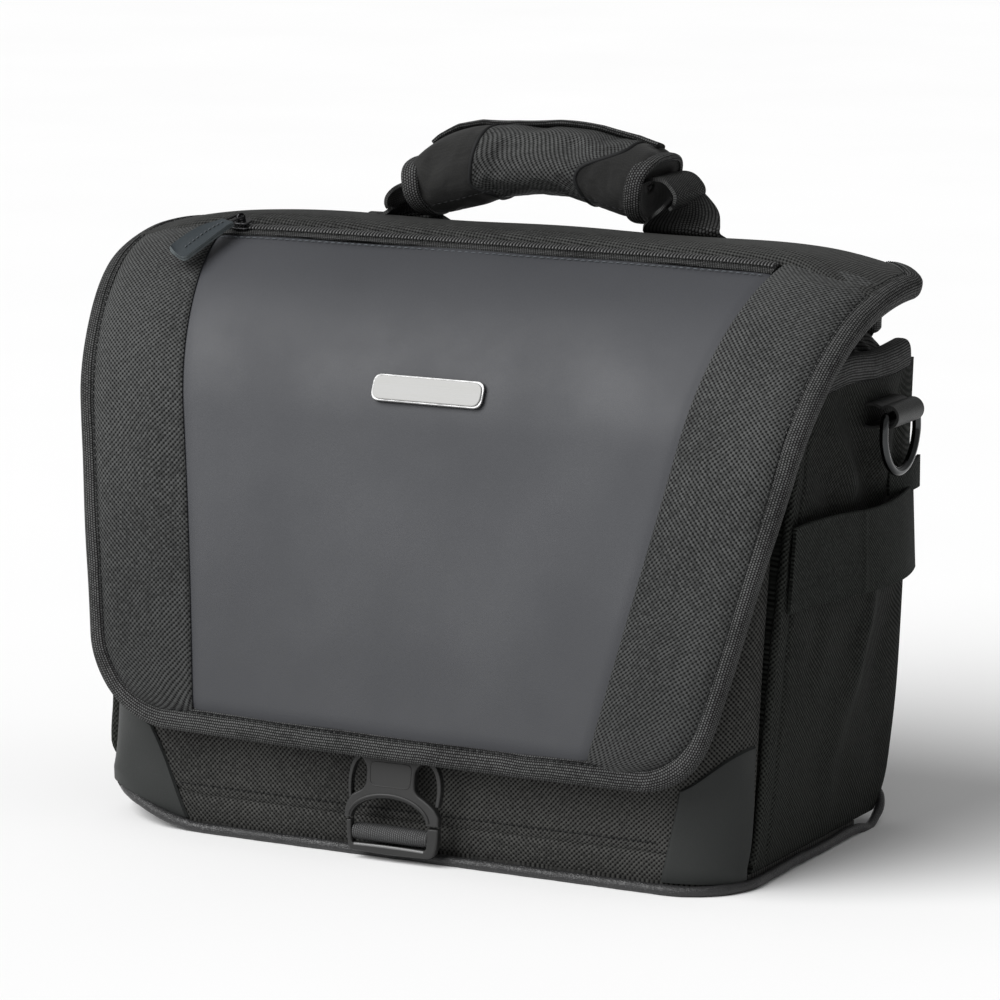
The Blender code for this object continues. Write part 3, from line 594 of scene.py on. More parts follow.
def ribbed(name, dark, light, rib=0.0022, cross=0.0012, along_u=True, roughness=0.6,
           depth=0.00030, **settings):
    """A woven tape: ribs run along it, each made of many short cross threads. The raised threads
    are coloured light as painted highlights.
    """
    settings.setdefault("Specular_IOR_Level", 0.12)
    f = Finish(name, colour=light, roughness=roughness, **settings)
    u, v = f.weave_uv()
    length, girth = (u, v) if along_u else (v, u)
    drift = f.maths("MULTIPLY", f.maths("SUBTRACT", f.noise(40.0, 2.0), 0.5), 0.0016)
    phase = f.maths("DIVIDE", f.maths("ADD", girth, drift), rib)
    ridge = f.maths("ABSOLUTE", f.maths("SINE", f.maths("MULTIPLY", phase, math.pi)))
    shift = f.maths("MULTIPLY", f.maths("FLOORED_MODULO", f.maths("FLOOR", phase), 2.0), 0.5)
    step = f.maths("ADD", f.maths("DIVIDE", length, cross), shift)
    thread = f.maths("ABSOLUTE", f.maths("SINE", f.maths("MULTIPLY", step, math.pi)))
    height = f.maths("MULTIPLY", f.maths("POWER", ridge, 0.6),
                     f.maths("ADD", 0.3, f.maths("MULTIPLY", thread, 0.7)))
    cell = f.add("ShaderNodeCombineXYZ")
    f.join(f.maths("FLOOR", phase), cell.inputs[0])
    f.join(f.maths("FLOOR", step), cell.inputs[1])
    grainy = f.add("ShaderNodeTexWhiteNoise", noise_dimensions="2D")
    f.join(cell.outputs[0], grainy.inputs["Vector"])
    uneven = f.maths("ADD", f.maths("MULTIPLY", grainy.outputs[0], 0.6),
                     f.spread(f.noise(30.0, 3.0), 0.25, 0.75, 0.4, 0.9))
    # painted highlights: the raised threads take the light colour
    share = f.maths("MULTIPLY", f.spread(height, 0.25, 1.0), uneven, clamp=True)
    rough = f.spread(height, 0.2, 1.0, roughness + 0.2, roughness - 0.05)
    return f.finish(f.blend(share, dark, light), rough, f.bump(height, depth, 0.9))


def leatherlike(name, dark, light, grain=0.0006, depth=0.00006, roughness=0.5, mottled=6.0,
                painted_shade_ramp=None, **settings):
    """A coated cloth: a fine pebbled grain, faint creases and uneven tone."""
    f = Finish(name, colour=light, roughness=roughness, **settings)
    pebble = f.add("ShaderNodeTexVoronoi", feature="DISTANCE_TO_EDGE")
    warp = f.noise(400.0, 2.0)
    shifted = f.add("ShaderNodeVectorMath", operation="ADD")
    f.join(f.place(), shifted.inputs[0])
    scaled = f.add("ShaderNodeVectorMath", operation="SCALE")
    f.join(warp, scaled.inputs[0])
    scaled.inputs[3].default_value = grain * 0.6
    f.join(scaled.outputs[0], shifted.inputs[1])
    f.join(shifted.outputs[0], pebble.inputs["Vector"])
    pebble.inputs["Scale"].default_value = 1.0 / grain
    skin = f.spread(pebble.outputs["Distance"], 0.0, 0.35)
    tone = f.noise(mottled, 4.0)
    fine = f.noise(900.0, 2.0)
    share = f.maths("ADD", f.maths("MULTIPLY", tone, 0.75),
                    f.maths("MULTIPLY", f.maths("MULTIPLY", skin, fine), 0.45), clamp=True)
    rough = f.spread(f.noise(18.0, 3.0), 0.3, 0.7, roughness - 0.05, roughness + 0.07)
    height = f.maths("ADD", skin, f.maths("MULTIPLY", fine, 0.4))
    return f.finish(f.blend(f.fade(share, painted_shade_ramp), dark, light), rough, f.bump(height, depth, 0.8))


def moulded(name, dark, light, roughness, **settings):
    """Injection-moulded plastic: a fine spark-eroded surface with slightly uneven tone."""
    f = Finish(name, colour=light, roughness=roughness, **settings)
    fine = f.noise(1500.0, 2.0)
    share = f.maths("ADD", f.maths("MULTIPLY", f.noise(35.0, 3.0), 0.7),
                    f.maths("MULTIPLY", fine, 0.3))
    # lighter colour on the sharp convex edges
    edge = f.add("ShaderNodeNewGeometry").outputs["Pointiness"]
    convex_edges = f.spread(edge, 0.52, 0.60)
    colour = f.blend(f.maths("ADD", share, f.maths("MULTIPLY", convex_edges, 0.6), clamp=True), dark,
                     light)
    rough = f.spread(f.noise(90.0, 2.0), 0.3, 0.7, roughness - 0.05, roughness + 0.06)
    return f.finish(colour, rough, f.bump(fine, 0.00003, 0.6))


def knitted(name, dark, light, pitch=0.0007, **settings):
    """Fine knitted jersey, as on neoprene: tiny interlocked loops."""
    f = Finish(name, colour=light, roughness=0.8, **settings)
    place = f.place()
    loops = f.add("ShaderNodeTexVoronoi", feature="F1")
    f.join(place, loops.inputs["Vector"])
    loops.inputs["Scale"].default_value = 1.0 / pitch
    loops.inputs["Randomness"].default_value = 0.35
    height = f.spread(loops.outputs["Distance"], 0.0, 0.7, 1.0, 0.0)
    tone = f.maths("ADD", f.maths("MULTIPLY", f.noise(30.0, 3.0), 0.7),
                   f.maths("MULTIPLY", height, 0.4), clamp=True)
    return f.finish(f.blend(tone, dark, light), None, f.bump(height, 0.00012, 0.7))


NYLON = woven("ballistic_nylon", (0.0030, 0.0031, 0.0031), (0.070, 0.072, 0.071),
              Sheen_Weight=0.03, Sheen_Roughness=0.5)
# painted shade: the flank's colour grows darker towards its lower part
NYLON_FLANK = woven("ballistic_nylon_flank", (0.0030, 0.0031, 0.0031),
                    (0.078, 0.080, 0.079), painted_shade_ramp=(-0.125, 0.01, 0.60), Sheen_Weight=0.03,
                    Sheen_Roughness=0.5)
# painted shade: the same nylon made darker for the top band over the ridge
NYLON_TOP_PAINTED_SHADE = woven("ballistic_nylon_top_painted_shade", (0.0030, 0.0030, 0.0030), (0.050, 0.051, 0.049),
                  turn=38.0, Sheen_Weight=0.03, Sheen_Roughness=0.5)
# painted shade: the same nylon made darker for the side walls, which get less light; it also
# colours the corner rolls and the hinge fold cloth
NYLON_SIDE_PAINTED_SHADE = woven("ballistic_nylon_side_painted_shade", (0.0018, 0.0019, 0.0018), (0.032, 0.034, 0.031),
                   weft=0.10, Specular_IOR_Level=0.05)
NYLON_FRONT = woven("ballistic_nylon_front", (0.0022, 0.0022, 0.0021), (0.056, 0.056, 0.053),
                    weft=0.0, Sheen_Weight=0.03, Sheen_Roughness=0.5)
BINDING = ribbed("binding_tape", (0.0022, 0.0022, 0.0022), (0.090, 0.091, 0.090),
                 rib=0.00130, cross=0.00120)
WEBBING = ribbed("webbing", (0.0030, 0.0030, 0.0030), (0.060, 0.061, 0.060), rib=0.0017,
                 cross=0.0009, along_u=False)
BAND = woven("side_webbing", (0.0024, 0.0026, 0.0024), (0.034, 0.037, 0.034), pitch=0.0010,
             weft=0.2, Specular_IOR_Level=0.05)
# painted shade: the middle panel's colour grows darker towards its bottom, where less light
# falls on it
SATIN = leatherlike("satin_leatherette", (0.0300, 0.0313, 0.0352), (0.0640, 0.0662, 0.0735),
                    grain=0.00045, depth=0.00003, roughness=0.50, mottled=5.0,
                    painted_shade_ramp=(-0.120, 0.0, 0.1), Specular_IOR_Level=0.30)
PATCH = leatherlike("patch_leatherette", (0.015, 0.0165, 0.016), (0.026, 0.028, 0.027),
                    grain=0.0006, depth=0.00004, roughness=0.55, Specular_IOR_Level=0.25)
ROLL = leatherlike("rolled_leatherette", (0.010, 0.0105, 0.0105), (0.028, 0.029, 0.028),
                   grain=0.0007, depth=0.00008, roughness=0.42, Specular_IOR_Level=0.4)
PIPING = leatherlike("grained_piping", (0.006, 0.006, 0.0065), (0.036, 0.036, 0.037),
                     grain=0.0010, depth=0.00018, roughness=0.38, mottled=70.0,
                     Specular_IOR_Level=0.45)
PULL_SKIN = leatherlike("pull_leather", (0.022, 0.028, 0.032), (0.040, 0.049, 0.055),
                        grain=0.0006, depth=0.00006, roughness=0.52, mottled=60.0,
                        Specular_IOR_Level=0.25)
PULL_EDGE = leatherlike("pull_edge", (0.060, 0.072, 0.076), (0.120, 0.135, 0.140),
                        grain=0.0005, depth=0.00006, roughness=0.6, mottled=120.0,
                        Specular_IOR_Level=0.2)
PLASTIC = moulded("moulded_plastic", (0.013, 0.013, 0.013), (0.0235, 0.0235, 0.0230),
                  roughness=0.45, Specular_IOR_Level=0.35)
COIL = moulded("zip_coil_nylon", (0.03, 0.03, 0.03), (0.13, 0.13, 0.13), roughness=0.3)
THREAD = moulded("sewing_thread", (0.006, 0.006, 0.006), (0.022, 0.023, 0.024),
                 roughness=0.65, Specular_IOR_Level=0.15)
PALE_THREAD = moulded("pale_thread", (0.07, 0.08, 0.09), (0.12, 0.13, 0.14), roughness=0.6,
                      Specular_IOR_Level=0.2)
NEOPRENE = knitted("neoprene", (0.010, 0.010, 0.010), (0.032, 0.032, 0.031),
                   Sheen_Weight=0.08, Sheen_Roughness=0.5, Specular_IOR_Level=0.08)
LINING = woven("lining_cloth", (0.020, 0.021, 0.022), (0.060, 0.062, 0.065), pitch=0.0008,
               depth=0.00012, roughness=0.7, weft=0.5)
LOOP_CLOTH = knitted("loop_cloth", (0.025, 0.026, 0.028), (0.070, 0.072, 0.075),
                     pitch=0.0009, Sheen_Weight=0.2, Sheen_Roughness=0.5,
                     Specular_IOR_Level=0.1)
RIBBED = ribbed("ribbed_elastic", (0.0025, 0.0025, 0.0025), (0.050, 0.051, 0.050), rib=0.0019,
                cross=0.0009)


def polished(name, colour, roughness):
    """Coated metal with faint scuffs and uneven polish."""
    f = Finish(name, colour=colour, roughness=roughness, Metallic=1.0)
    scuff = f.noise(240.0, 4.0, stretch=(1.0, 1.0, 3.0))
    rough = f.spread(scuff, 0.35, 0.75, roughness * 0.7, roughness * 1.5)
    tone = f.blend(f.spread(f.noise(50.0, 3.0), 0.3, 0.7),
                   tuple(c * 0.85 for c in colour), tuple(min(1.0, c * 1.12) for c in colour))
    return f.finish(tone, rough, f.bump(scuff, 0.00001, 0.4))


RING_METAL = polished("black_nickel", (0.045, 0.047, 0.048), 0.16)
GUN_METAL = polished("gunmetal", (0.060, 0.060, 0.062), 0.30)
BADGE_EDGE = polished("badge_edge", (0.22, 0.22, 0.22), 0.35)


def brushed(name):
    """Pale satin metal with fine lines along it."""
    f = Finish(name, colour=(0.32, 0.32, 0.31), roughness=0.5, Metallic=0.1)
    lines = f.noise(700.0, 3.0, stretch=(0.04, 1.0, 1.0))
    tone = f.blend(f.spread(lines, 0.3, 0.7), (0.29, 0.29, 0.285), (0.35, 0.35, 0.34))
    rough = f.spread(lines, 0.3, 0.7, 0.42, 0.56)
    return f.finish(tone, rough, f.bump(lines, 0.00002, 0.5))


BADGE_FACE = brushed("badge_face")


# ---------------------------------------------------------------- the flap
CORNER = {-1: 0.0400, 1: 0.0300}    # radii of its lower corners, left and right
BOUND = 0.0053              # half the width of the bound edge
SEWN = 0.0020               # how far its row of stitches is from its inner edge
BAND_EDGE = 0.2515          # where the top band's front edge lies


HEM_DROP = np.array([(-0.150, 0.0), (-0.120, 0.0010), (-0.050, 0.0026), (0.0, 0.0032),
                     (0.070, 0.0038), (0.120, 0.0036), (0.160, 0.0030)])


def flap_skin(s, x, depth=0.0):
    """The flap's face: its hem hangs a little, and its upper left shoulder bulges out."""
    s, x, depth = np.broadcast_arrays(np.asarray(s, float), x, depth)
    hang = np.interp(x, HEM_DROP[:, 0], HEM_DROP[:, 1]) * (1 - smoothstep(s / 0.070))
    spot = flap_surface(s - hang, x, depth)
    bulge = 0.0042 * smoothstep((-x - 0.11) / 0.08)
    bulge = bulge * smoothstep((s - 0.02) / 0.14) * (1 - smoothstep((s - 0.225) / 0.05))
    return spot - np.stack([bulge, 0 * bulge, 0 * bulge], -1)


def flap_edge(s, sign, inset):
    """How far out the flap reaches at s, less an inset."""
    s = np.asarray(s, float)
    turn = CORNER[sign]
    reach = np.maximum(0.0, (turn - inset) ** 2 - np.maximum(0.0, turn - s) ** 2)
    return np.where(s >= turn, flap_full(s) - inset, flap_full(s) - turn + np.sqrt(reach))


def flap_normal(s, x):
    """The outward normal of the flap's face."""
    step = 0.0004
    up = flap_skin(s + step, x) - flap_skin(s - step, x)
    out = flap_skin(s, x + step) - flap_skin(s, x - step)
    return unit(np.cross(out, up))


def flap_outline(inset):
    """S and x along the flap's edge, from one end of the hinge seam round to the other."""
    s, x = [], []
    for sign in (-1, 1):
        turn = CORNER[sign]
        side_s = np.linspace(FLAP_LENGTH - 0.002, turn, 90)
        side_x_values = flap_full(side_s) - inset
        angle = np.linspace(0, math.pi / 2, 26)[1:]
        corner_s = turn - (turn - inset) * np.sin(angle)
        centre = flap_full(corner_s) - turn
        corner_x = centre + (turn - inset) * np.cos(angle)
        s_side = np.concatenate([side_s, corner_s])
        x_side = sign * np.concatenate([side_x_values, corner_x])
        s.append(s_side if sign < 0 else s_side[::-1])
        x.append(x_side if sign < 0 else x_side[::-1])
    hem = np.linspace(x[0][-1], x[1][0], 74)[1:-1]
    s = np.concatenate([s[0], np.full(len(hem), inset), s[1]])
    x = np.concatenate([x[0], hem, x[1]])
    reach = reach_of(flap_skin(s, x))
    goal = np.linspace(0, reach[-1], int(reach[-1] / 0.0022))
    return np.interp(goal, reach, s), np.interp(goal, reach, x)


def build_flap():
    # the padding and the quilted lining inside it
    def core(u, v):
        s = mix(0.0060, FLAP_LENGTH - 0.0035, v)
        x = mix(-flap_edge(s, -1, 0.0050), flap_edge(s, 1, 0.0050), u)
        return flap_skin(s, x, 0.0014)
    columns, rows = 110, 96
    outer = grid(core, columns, rows)
    u, v = spaced(outer, 1), spaced(outer, 0)
    diagonals = [np.abs((a / 0.052) % 1.0 - 0.5) * 0.052 for a in (u + v, u - v)]
    dip = sum(0.0016 * bell(d, 0.0030) for d in diagonals)
    quilt = 0.0076 - np.minimum(dip, 0.0020)
    column, row = np.arange(columns + 1)[None, :], np.arange(rows + 1)[:, None]
    rim = np.minimum(np.minimum(column, columns - column), np.minimum(row, rows - row))
    quilt = quilt - 0.0010 * (1 - np.clip(rim / 4.0, 0, 1))
    pad = shell("flap_quilted_pad", outer, quilt, [NYLON, LINING])
    fasten(pad, "flap", ("flap_pad", "flap_lining"))

    # the smooth middle panel: it runs under the edges of its neighbours
    def middle(u, v):
        s = mix(0.0062, 0.2436, v)
        half = seam_half(s) + 0.0030
        x = mix(-half, half, u)
        gap = seam_half(s) - np.abs(x)
        drop = 0.0009 * np.exp(-(np.maximum(gap, 0) / 0.0022) ** 2)
        drop = drop + 0.0008 * bell(0.2436 - s, 0.0025)
        drop = drop + 0.0020 * bell(s - 0.0062, 0.0042)
        ripple = 0.00035 * np.sin(x * 31 + 1.3) * np.sin(s * 27 + 0.6)
        ripple = ripple + 0.00025 * np.sin(x * 67 - s * 40)
        return flap_skin(s, x, drop - ripple * smoothstep(gap / 0.03))
    fasten(shell("flap_centre_face", grid(middle, 96, 96), 0.0010, [SATIN, SATIN]), "flap",
           ("flap_centre_panel",))

    for side, sign in SIDES:
        def flank(u, v, sign=sign):
            s = mix(0.0062, 0.2540, v)
            inner, outer = seam_half(s) - 0.0004, flap_edge(s, sign, 0.0060)
            out = u if sign > 0 else 1 - u
            x = mix(inner, outer, out)
            from_seam, from_edge = x - inner, outer - x
            lift = 0.0010 * quarter(from_seam / 0.0016)
            lift = lift + 0.0018 * smoothstep(from_seam / 0.018) * smoothstep(from_edge / 0.014)
            lift = lift - 0.0022 * bell(from_edge, 0.0042)
            lift = lift - 0.0022 * bell(s - 0.0062, 0.0042)
            lift = lift * (0.25 + 0.75 * (1 - smoothstep((s - 0.236) / 0.012)))
            sag = 0.0009 * np.sin(s * 46 + 1.2 * sign) * np.sin(math.pi * out)
            return flap_skin(s, sign * x, -lift - sag * 0.5)
        panel = shell("flap_flank_" + side, grid(flank, 40, 130), 0.0012, [NYLON_FLANK, NYLON])
        fasten(panel, "flap", ("flap_side_panel_" + side,))

    # the band over the ridge: its front edge is rolled and stands over the zip
    def band(u, v):
        t = v ** 1.35
        x_share = mix(-1.0, 1.0, u)
        near = BAND_EDGE - 0.0105 * smoothstep((x_share * 0.197 - 0.145) / 0.05)
        near = near - 0.0030 * smoothstep((-x_share * 0.197 - 0.150) / 0.04)
        s = mix(near, FLAP_LENGTH - 0.0035, t)
        x = np.where(x_share < 0, x_share * flap_edge(s, -1, 0.0060),
                     x_share * flap_edge(s, 1, 0.0060))
        back = s - near
        roll = 0.0040
        lift = 0.0034 * quarter(back / roll)
        lift = lift - 0.0026 * smoothstep((back - roll) / 0.022)
        lift = lift - 0.0006 * bell(back - 0.0075, 0.0012)
        ends = smoothstep((np.abs(x) - 0.150) / 0.035)
        lift = lift * (1 - 0.62 * ends) - 0.0006
        ripple = 0.0005 * np.sin(x * 52 + 0.7) * np.sin(math.pi * np.clip(t, 0, 1))
        return flap_skin(s, x, -lift - ripple)
    top = grid(band, 150, 46)
    fasten(shell("flap_top_band", top, 0.0012, [NYLON_TOP_PAINTED_SHADE, NYLON_TOP_PAINTED_SHADE]), "flap",
           ("flap_top_panel",))

    # the bound edge
    s, x = flap_outline(BOUND)
    centre = flap_skin(s, x, 0.0044)
    normal = flap_normal(s, x)
    out = unit(np.cross(unit(np.gradient(centre, axis=0)), normal))
    a, b = super_ring(BOUND, 0.0054, 2.7, 64)
    b = b - 0.0009 * (b > 0) * bell(a + BOUND - SEWN, 0.0006)
    wider = 0.0005 * (1 - smoothstep((s - 0.008) / 0.02)) - 0.0013 * (x > 0) * (
        smoothstep((s - 0.008) / 0.02) * (1 - smoothstep((s - 0.08) / 0.10)))
    centre = centre + out * wider[:, None]
    a = a[None, :] * (1 + wider[:, None] / BOUND)
    wobble = 0.00025 * np.sin(np.arange(len(s)) * 0.21) + 0.0002 * np.sin(
        np.arange(len(s)) * 0.083 + 2)
    rings = (centre[:, None] + out[:, None] * a[:, :, None]
             + normal[:, None] * (b[None, :, None] + wobble[:, None, None]))
    fasten(sweep("flap_bound_edge", rings, [BINDING]), "flap",
           ("flap_binding",))
    s, x = flap_outline(2 * BOUND - SEWN)
    line, up = flap_skin(s, x, -0.0001), flap_normal(s, x)
    fasten(stitches("flap_edge_stitches", line, up, THREAD, lift=0.0), "flap")


def build_zip():
    def tape(u, v):
        s = mix(0.2432, 0.2530, v)
        return flap_skin(s, mix(-ZIP_HALF, ZIP_HALF, u), -0.0003)
    fasten(shell("zip_woven_tape", grid(tape, 120, 8), 0.0007, [BINDING, BINDING]), "flap",
           ("zip_tape",))
    # the coil's teeth, each a bent length of monofilament
    teeth = []
    stations, tooth = 7, 0.0017
    for n in range(int(2 * ZIP_HALF / tooth)):
        x = -ZIP_HALF + 0.001 + n * tooth
        s = ZIP_S + np.linspace(-0.0019, 0.0019, stations)
        lift = -0.0012 - 0.0008 * np.cos(np.linspace(-1.35, 1.35, stations))
        path = flap_skin(s, x + 0.0002 * np.sin(np.linspace(-2, 2, stations)), lift)
        teeth.append(tube_rings(path, 0.00052, 6, up=(1, 0, 0)))
    fasten(beads("zip_coil_teeth", teeth, COIL), "flap", ("zip_coil",))
    x, edge_s = np.linspace(-0.1440, 0.1440, 300), 0.2402
    line, up = flap_skin(edge_s, x, 0.0), flap_normal(np.full(len(x), edge_s), x)
    fasten(stitches("zip_edge_stitches", line, up, PALE_THREAD, pitch=0.0036, length=0.0026,
                    radius=0.00028), "flap")


def build_badge():
    badge_s = 0.1652
    spot = flap_surface(badge_s, 0.0)
    normal = flap_normal(np.array([badge_s]), np.array([0.0]))[0]
    across = np.array([1.0, 0, 0])
    up = np.cross(normal, across)
    turn = Matrix.Translation(spot) @ Matrix(
        [[across[k], up[k], normal[k]] for k in range(3)]).to_4x4()
    for name, half_w, half_h, thick, lift, material, stands in (
            ("badge_back", 0.0292, 0.0066, 0.0018, 0.0010, BADGE_EDGE, ("badge",)),
            ("badge_face", 0.0282, 0.0057, 0.0010, 0.0021, BADGE_FACE, ())):
        outline = rounded([(-half_w, -half_h), (half_w, -half_h), (half_w, half_h),
                           (-half_w, half_h)], 0.0048, 10)
        obj = plate(name, [outline], thick, material,
                    turn @ Matrix.Translation((0, 0, lift)), bevel=0.00042)
        fasten(obj, "flap", stands)


build_flap()
build_zip()
build_badge()


# ---------------------------------------------------------------- the body of the bag
def back_path(t):
    """Y and Z from the end of the flat base, round the turn and up the back."""
    t = np.asarray(t, float)
    turn_length = BACK_TURN * math.pi / 2
    rise = RIM_Z - BACK_TURN
    goal = t * (turn_length + rise)
    angle = np.minimum(goal, turn_length) / BACK_TURN
    turn = np.stack([BASE_BACK + BACK_TURN * np.sin(angle),
                     0.0004 + BACK_TURN * (1 - np.cos(angle))], -1)
    straight = along(BACK_LINE, np.clip((goal - turn_length) / rise, 0, 1))
    return np.where((goal < turn_length)[..., None], turn, straight)


def side_bottom(y):
    """Z of the side's lower edge."""
    reach = y - BASE_BACK
    round_ = 0.0004 + BACK_TURN - np.sqrt(np.maximum(0.0, BACK_TURN ** 2 - reach ** 2))
    return np.where(reach <= 0, 0.0065, np.maximum(0.0065, round_))


def side_spot(u, v):
    """Y and Z inside the side's outline, u from front to back, v upwards."""
    turn_end = BASE_BACK + BACK_TURN
    y_low = mix(FRONT_LINE[0, 0] + 0.0005, turn_end - 0.0004, u)
    low = np.stack([y_low, side_bottom(y_low)], -1)
    front, back = along(FRONT_LINE, v), along(BACK_LINE, v)
    high = np.stack([mix(FRONT_LINE[-1, 0], BACK_LINE[-1, 0], u), RIM_Z + 0 * u], -1)
    v3, u3 = v[..., None], u[..., None]
    front_bow = front - mix(FRONT_LINE[0], FRONT_LINE[-1], v3)
    back_bow = back - mix(BACK_LINE[0], BACK_LINE[-1], v3)
    return mix(low, high, v3) + front_bow * (1 - u3) + back_bow * u3


def ridge(y, z, start, end, width, height):
    """A soft crease between two points of the side, positive where it stands out."""
    start, end = np.array(start), np.array(end)
    way = end - start
    share = ((y - start[0]) * way[0] + (z - start[1]) * way[1]) / (way @ way)
    share_in = np.clip(share, 0, 1)
    off_y = y - start[0] - share_in * way[0]
    off_z = z - start[1] - share_in * way[1]
    fade = np.sin(np.clip(share, 0.02, 0.98) * math.pi) ** 0.6
    return height * fade * np.exp(-(off_y ** 2 + off_z ** 2) / width ** 2)


FOLDS = (
    ((0.050, 0.124), (0.018, 0.060), 0.0075, 0.0034),
    ((0.070, 0.112), (0.046, 0.050), 0.0120, -0.0022),
    ((0.014, 0.075), (0.006, 0.020), 0.0090, 0.0016),
    ((-0.014, 0.118), (-0.022, 0.078), 0.0070, -0.0012),
    ((-0.012, 0.206), (0.026, 0.166), 0.0075, 0.0030),
    ((0.006, 0.212), (0.048, 0.158), 0.0085, -0.0036),
    ((0.044, 0.190), (0.060, 0.150), 0.0080, 0.0024),
    ((-0.034, 0.196), (0.004, 0.160), 0.0070, -0.0018),
    ((0.074, 0.214), (0.070, 0.160), 0.0060, -0.0022),
    ((-0.030, 0.050), (0.030, 0.034), 0.0110, -0.0014),
)


def side_puff(u, v, y, z, sign):
    """How far the soft side stands out beyond its flat shape."""
    belly = 0.0030 * np.sin(math.pi * u) ** 0.7 * np.sin(math.pi * np.clip(v, 0, 1)) ** 0.6
    folds = sum(ridge(y, z, *fold) for fold in FOLDS)
    if sign < 0:
        folds = sum(ridge(y, z, (a[0], a[1] - 0.012), (b[0] + 0.01, b[1] + 0.006), w, h)
                    for a, b, w, h in FOLDS)
    border = smoothstep(u / 0.12) * smoothstep((1 - u) / 0.08)
    border = border * smoothstep(v / 0.07) * smoothstep((1 - v) / 0.06)
    fine = 0.0004 * np.sin(y * 140 + z * 60) * np.sin(z * 110 - y * 45)
    hollow = -0.0022 * bell(z - 0.152, 0.016) * smoothstep(u / 0.2)
    return belly + (folds + fine + hollow) * border


def curled(spots):
    """The bag's front left foot corner lifts a little off the ground."""
    x, y, z = spots[..., 0], spots[..., 1], spots[..., 2]
    corner = smoothstep((-x - 0.105) / 0.060) * (1 - smoothstep((y + 0.066) / 0.080))
    up = 0.0120 * corner * (1 - smoothstep((z - 0.004) / 0.056))
    return np.stack([x, y, z + up], -1)


def build_base():
    def panel(u, v):
        y = mix(BASE_FRONT, BASE_BACK - 0.0018, v)
        corner = mix(0.040, 0.020, smoothstep(u * 3))
        dip = np.maximum(0.0, corner - (y - BASE_FRONT))
        half = BASE_HALF - corner + np.sqrt(np.maximum(0.0, corner ** 2 - dip ** 2))
        spots = np.stack([mix(-half, half, u), y, 0.0060 + 0 * y], -1)
        return curled(spots)
    base = shell("base_bottom", grid(panel, 90, 50), 0.0054, [NYLON_FRONT, NYLON_FRONT])
    fasten(base, "bag", ("base_panel",))

    def cushion(u, v):
        x, y = mix(-0.1495, 0.1495, u), mix(-0.0595, 0.0355, v)
        edge = np.minimum(np.minimum(u, 1 - u) * 0.299, np.minimum(v, 1 - v) * 0.095)
        puff = 0.0018 * smoothstep(edge / 0.012) + 0.0004 * np.sin(x * 70) * np.sin(y * 90)
        return np.stack([x, y, 0.0092 + puff], -1)
    fasten(shell("base_cushion", grid(cushion, 80, 28), 0.0022, [LOOP_CLOTH, LOOP_CLOTH]),
           "bag", ("base_board",))

    # the piping round the foot
    front = -0.0985
    half = BASE_HALF + 0.0022

    def ahead(x):
        return front - 0.0024 * (1 - (x / 0.165) ** 2) - 0.0028 * max(0.0, x / 0.14) ** 2
    path = [(x, ahead(x), 0.0023, 0.0025) for x in np.linspace(-0.126, 0.136, 24)]
    for sign, corner_x, corner_y in ((1, 0.0320, 0.0330), (-1, 0.0460, 0.0420)):
        base_y = ahead(sign * (half - corner_x))
        ends = [(half - corner_x * (1 - math.sin(a)), base_y + corner_y * (1 - math.cos(a)),
                 0.0023, 0.0025 - 0.0001 * a) for a in np.radians(np.arange(10, 91, 10))]
        ends += [(half, y, 0.0024 + 0.0006 * math.sin(y * 160) ** 2, 0.0023)
                 for y in (-0.044, -0.030, -0.015, 0.0, 0.015, 0.030, 0.042)]
        reach = BACK_TURN + 0.0030
        for degrees, inward in ((15, 0.0), (28, 0.0), (40, 0.0006), (50, 0.0040), (57, 0.0120)):
            turn = math.radians(degrees)
            ends.append((half - inward, BASE_BACK + reach * math.sin(turn),
                         0.0006 + BACK_TURN - reach * math.cos(turn) + 0.0016, 0.0022))
        turn = math.radians(60)
        ends += [(x, BASE_BACK + reach * math.sin(turn),
                  0.0006 + BACK_TURN - reach * math.cos(turn) + 0.0012, 0.0022)
                 for x in (0.14, 0.10, 0.06, 0.03, 0.0)]
        if sign > 0:
            path = path + ends
        else:
            path = path + [(-x, y, z, r) for x, y, z, r in reversed(ends[:-1])]
    path = spline(path + path[:1], 760)[:-1]
    uneven = 1 + 0.035 * np.sin(np.arange(len(path)) * 0.35) + 0.02 * np.sin(
        np.arange(len(path)) * 0.83)
    rings = tube_rings(curled(path[:, :3]), path[:, 3] * uneven, 16, cyclic=True)
    rings[..., 2] = np.maximum(rings[..., 2], 0.00005)
    fasten(sweep("foot_piping", rings, [PIPING], cyclic=True), "bag",
           ("base_piping",))


DIVIDER_X = 0.062


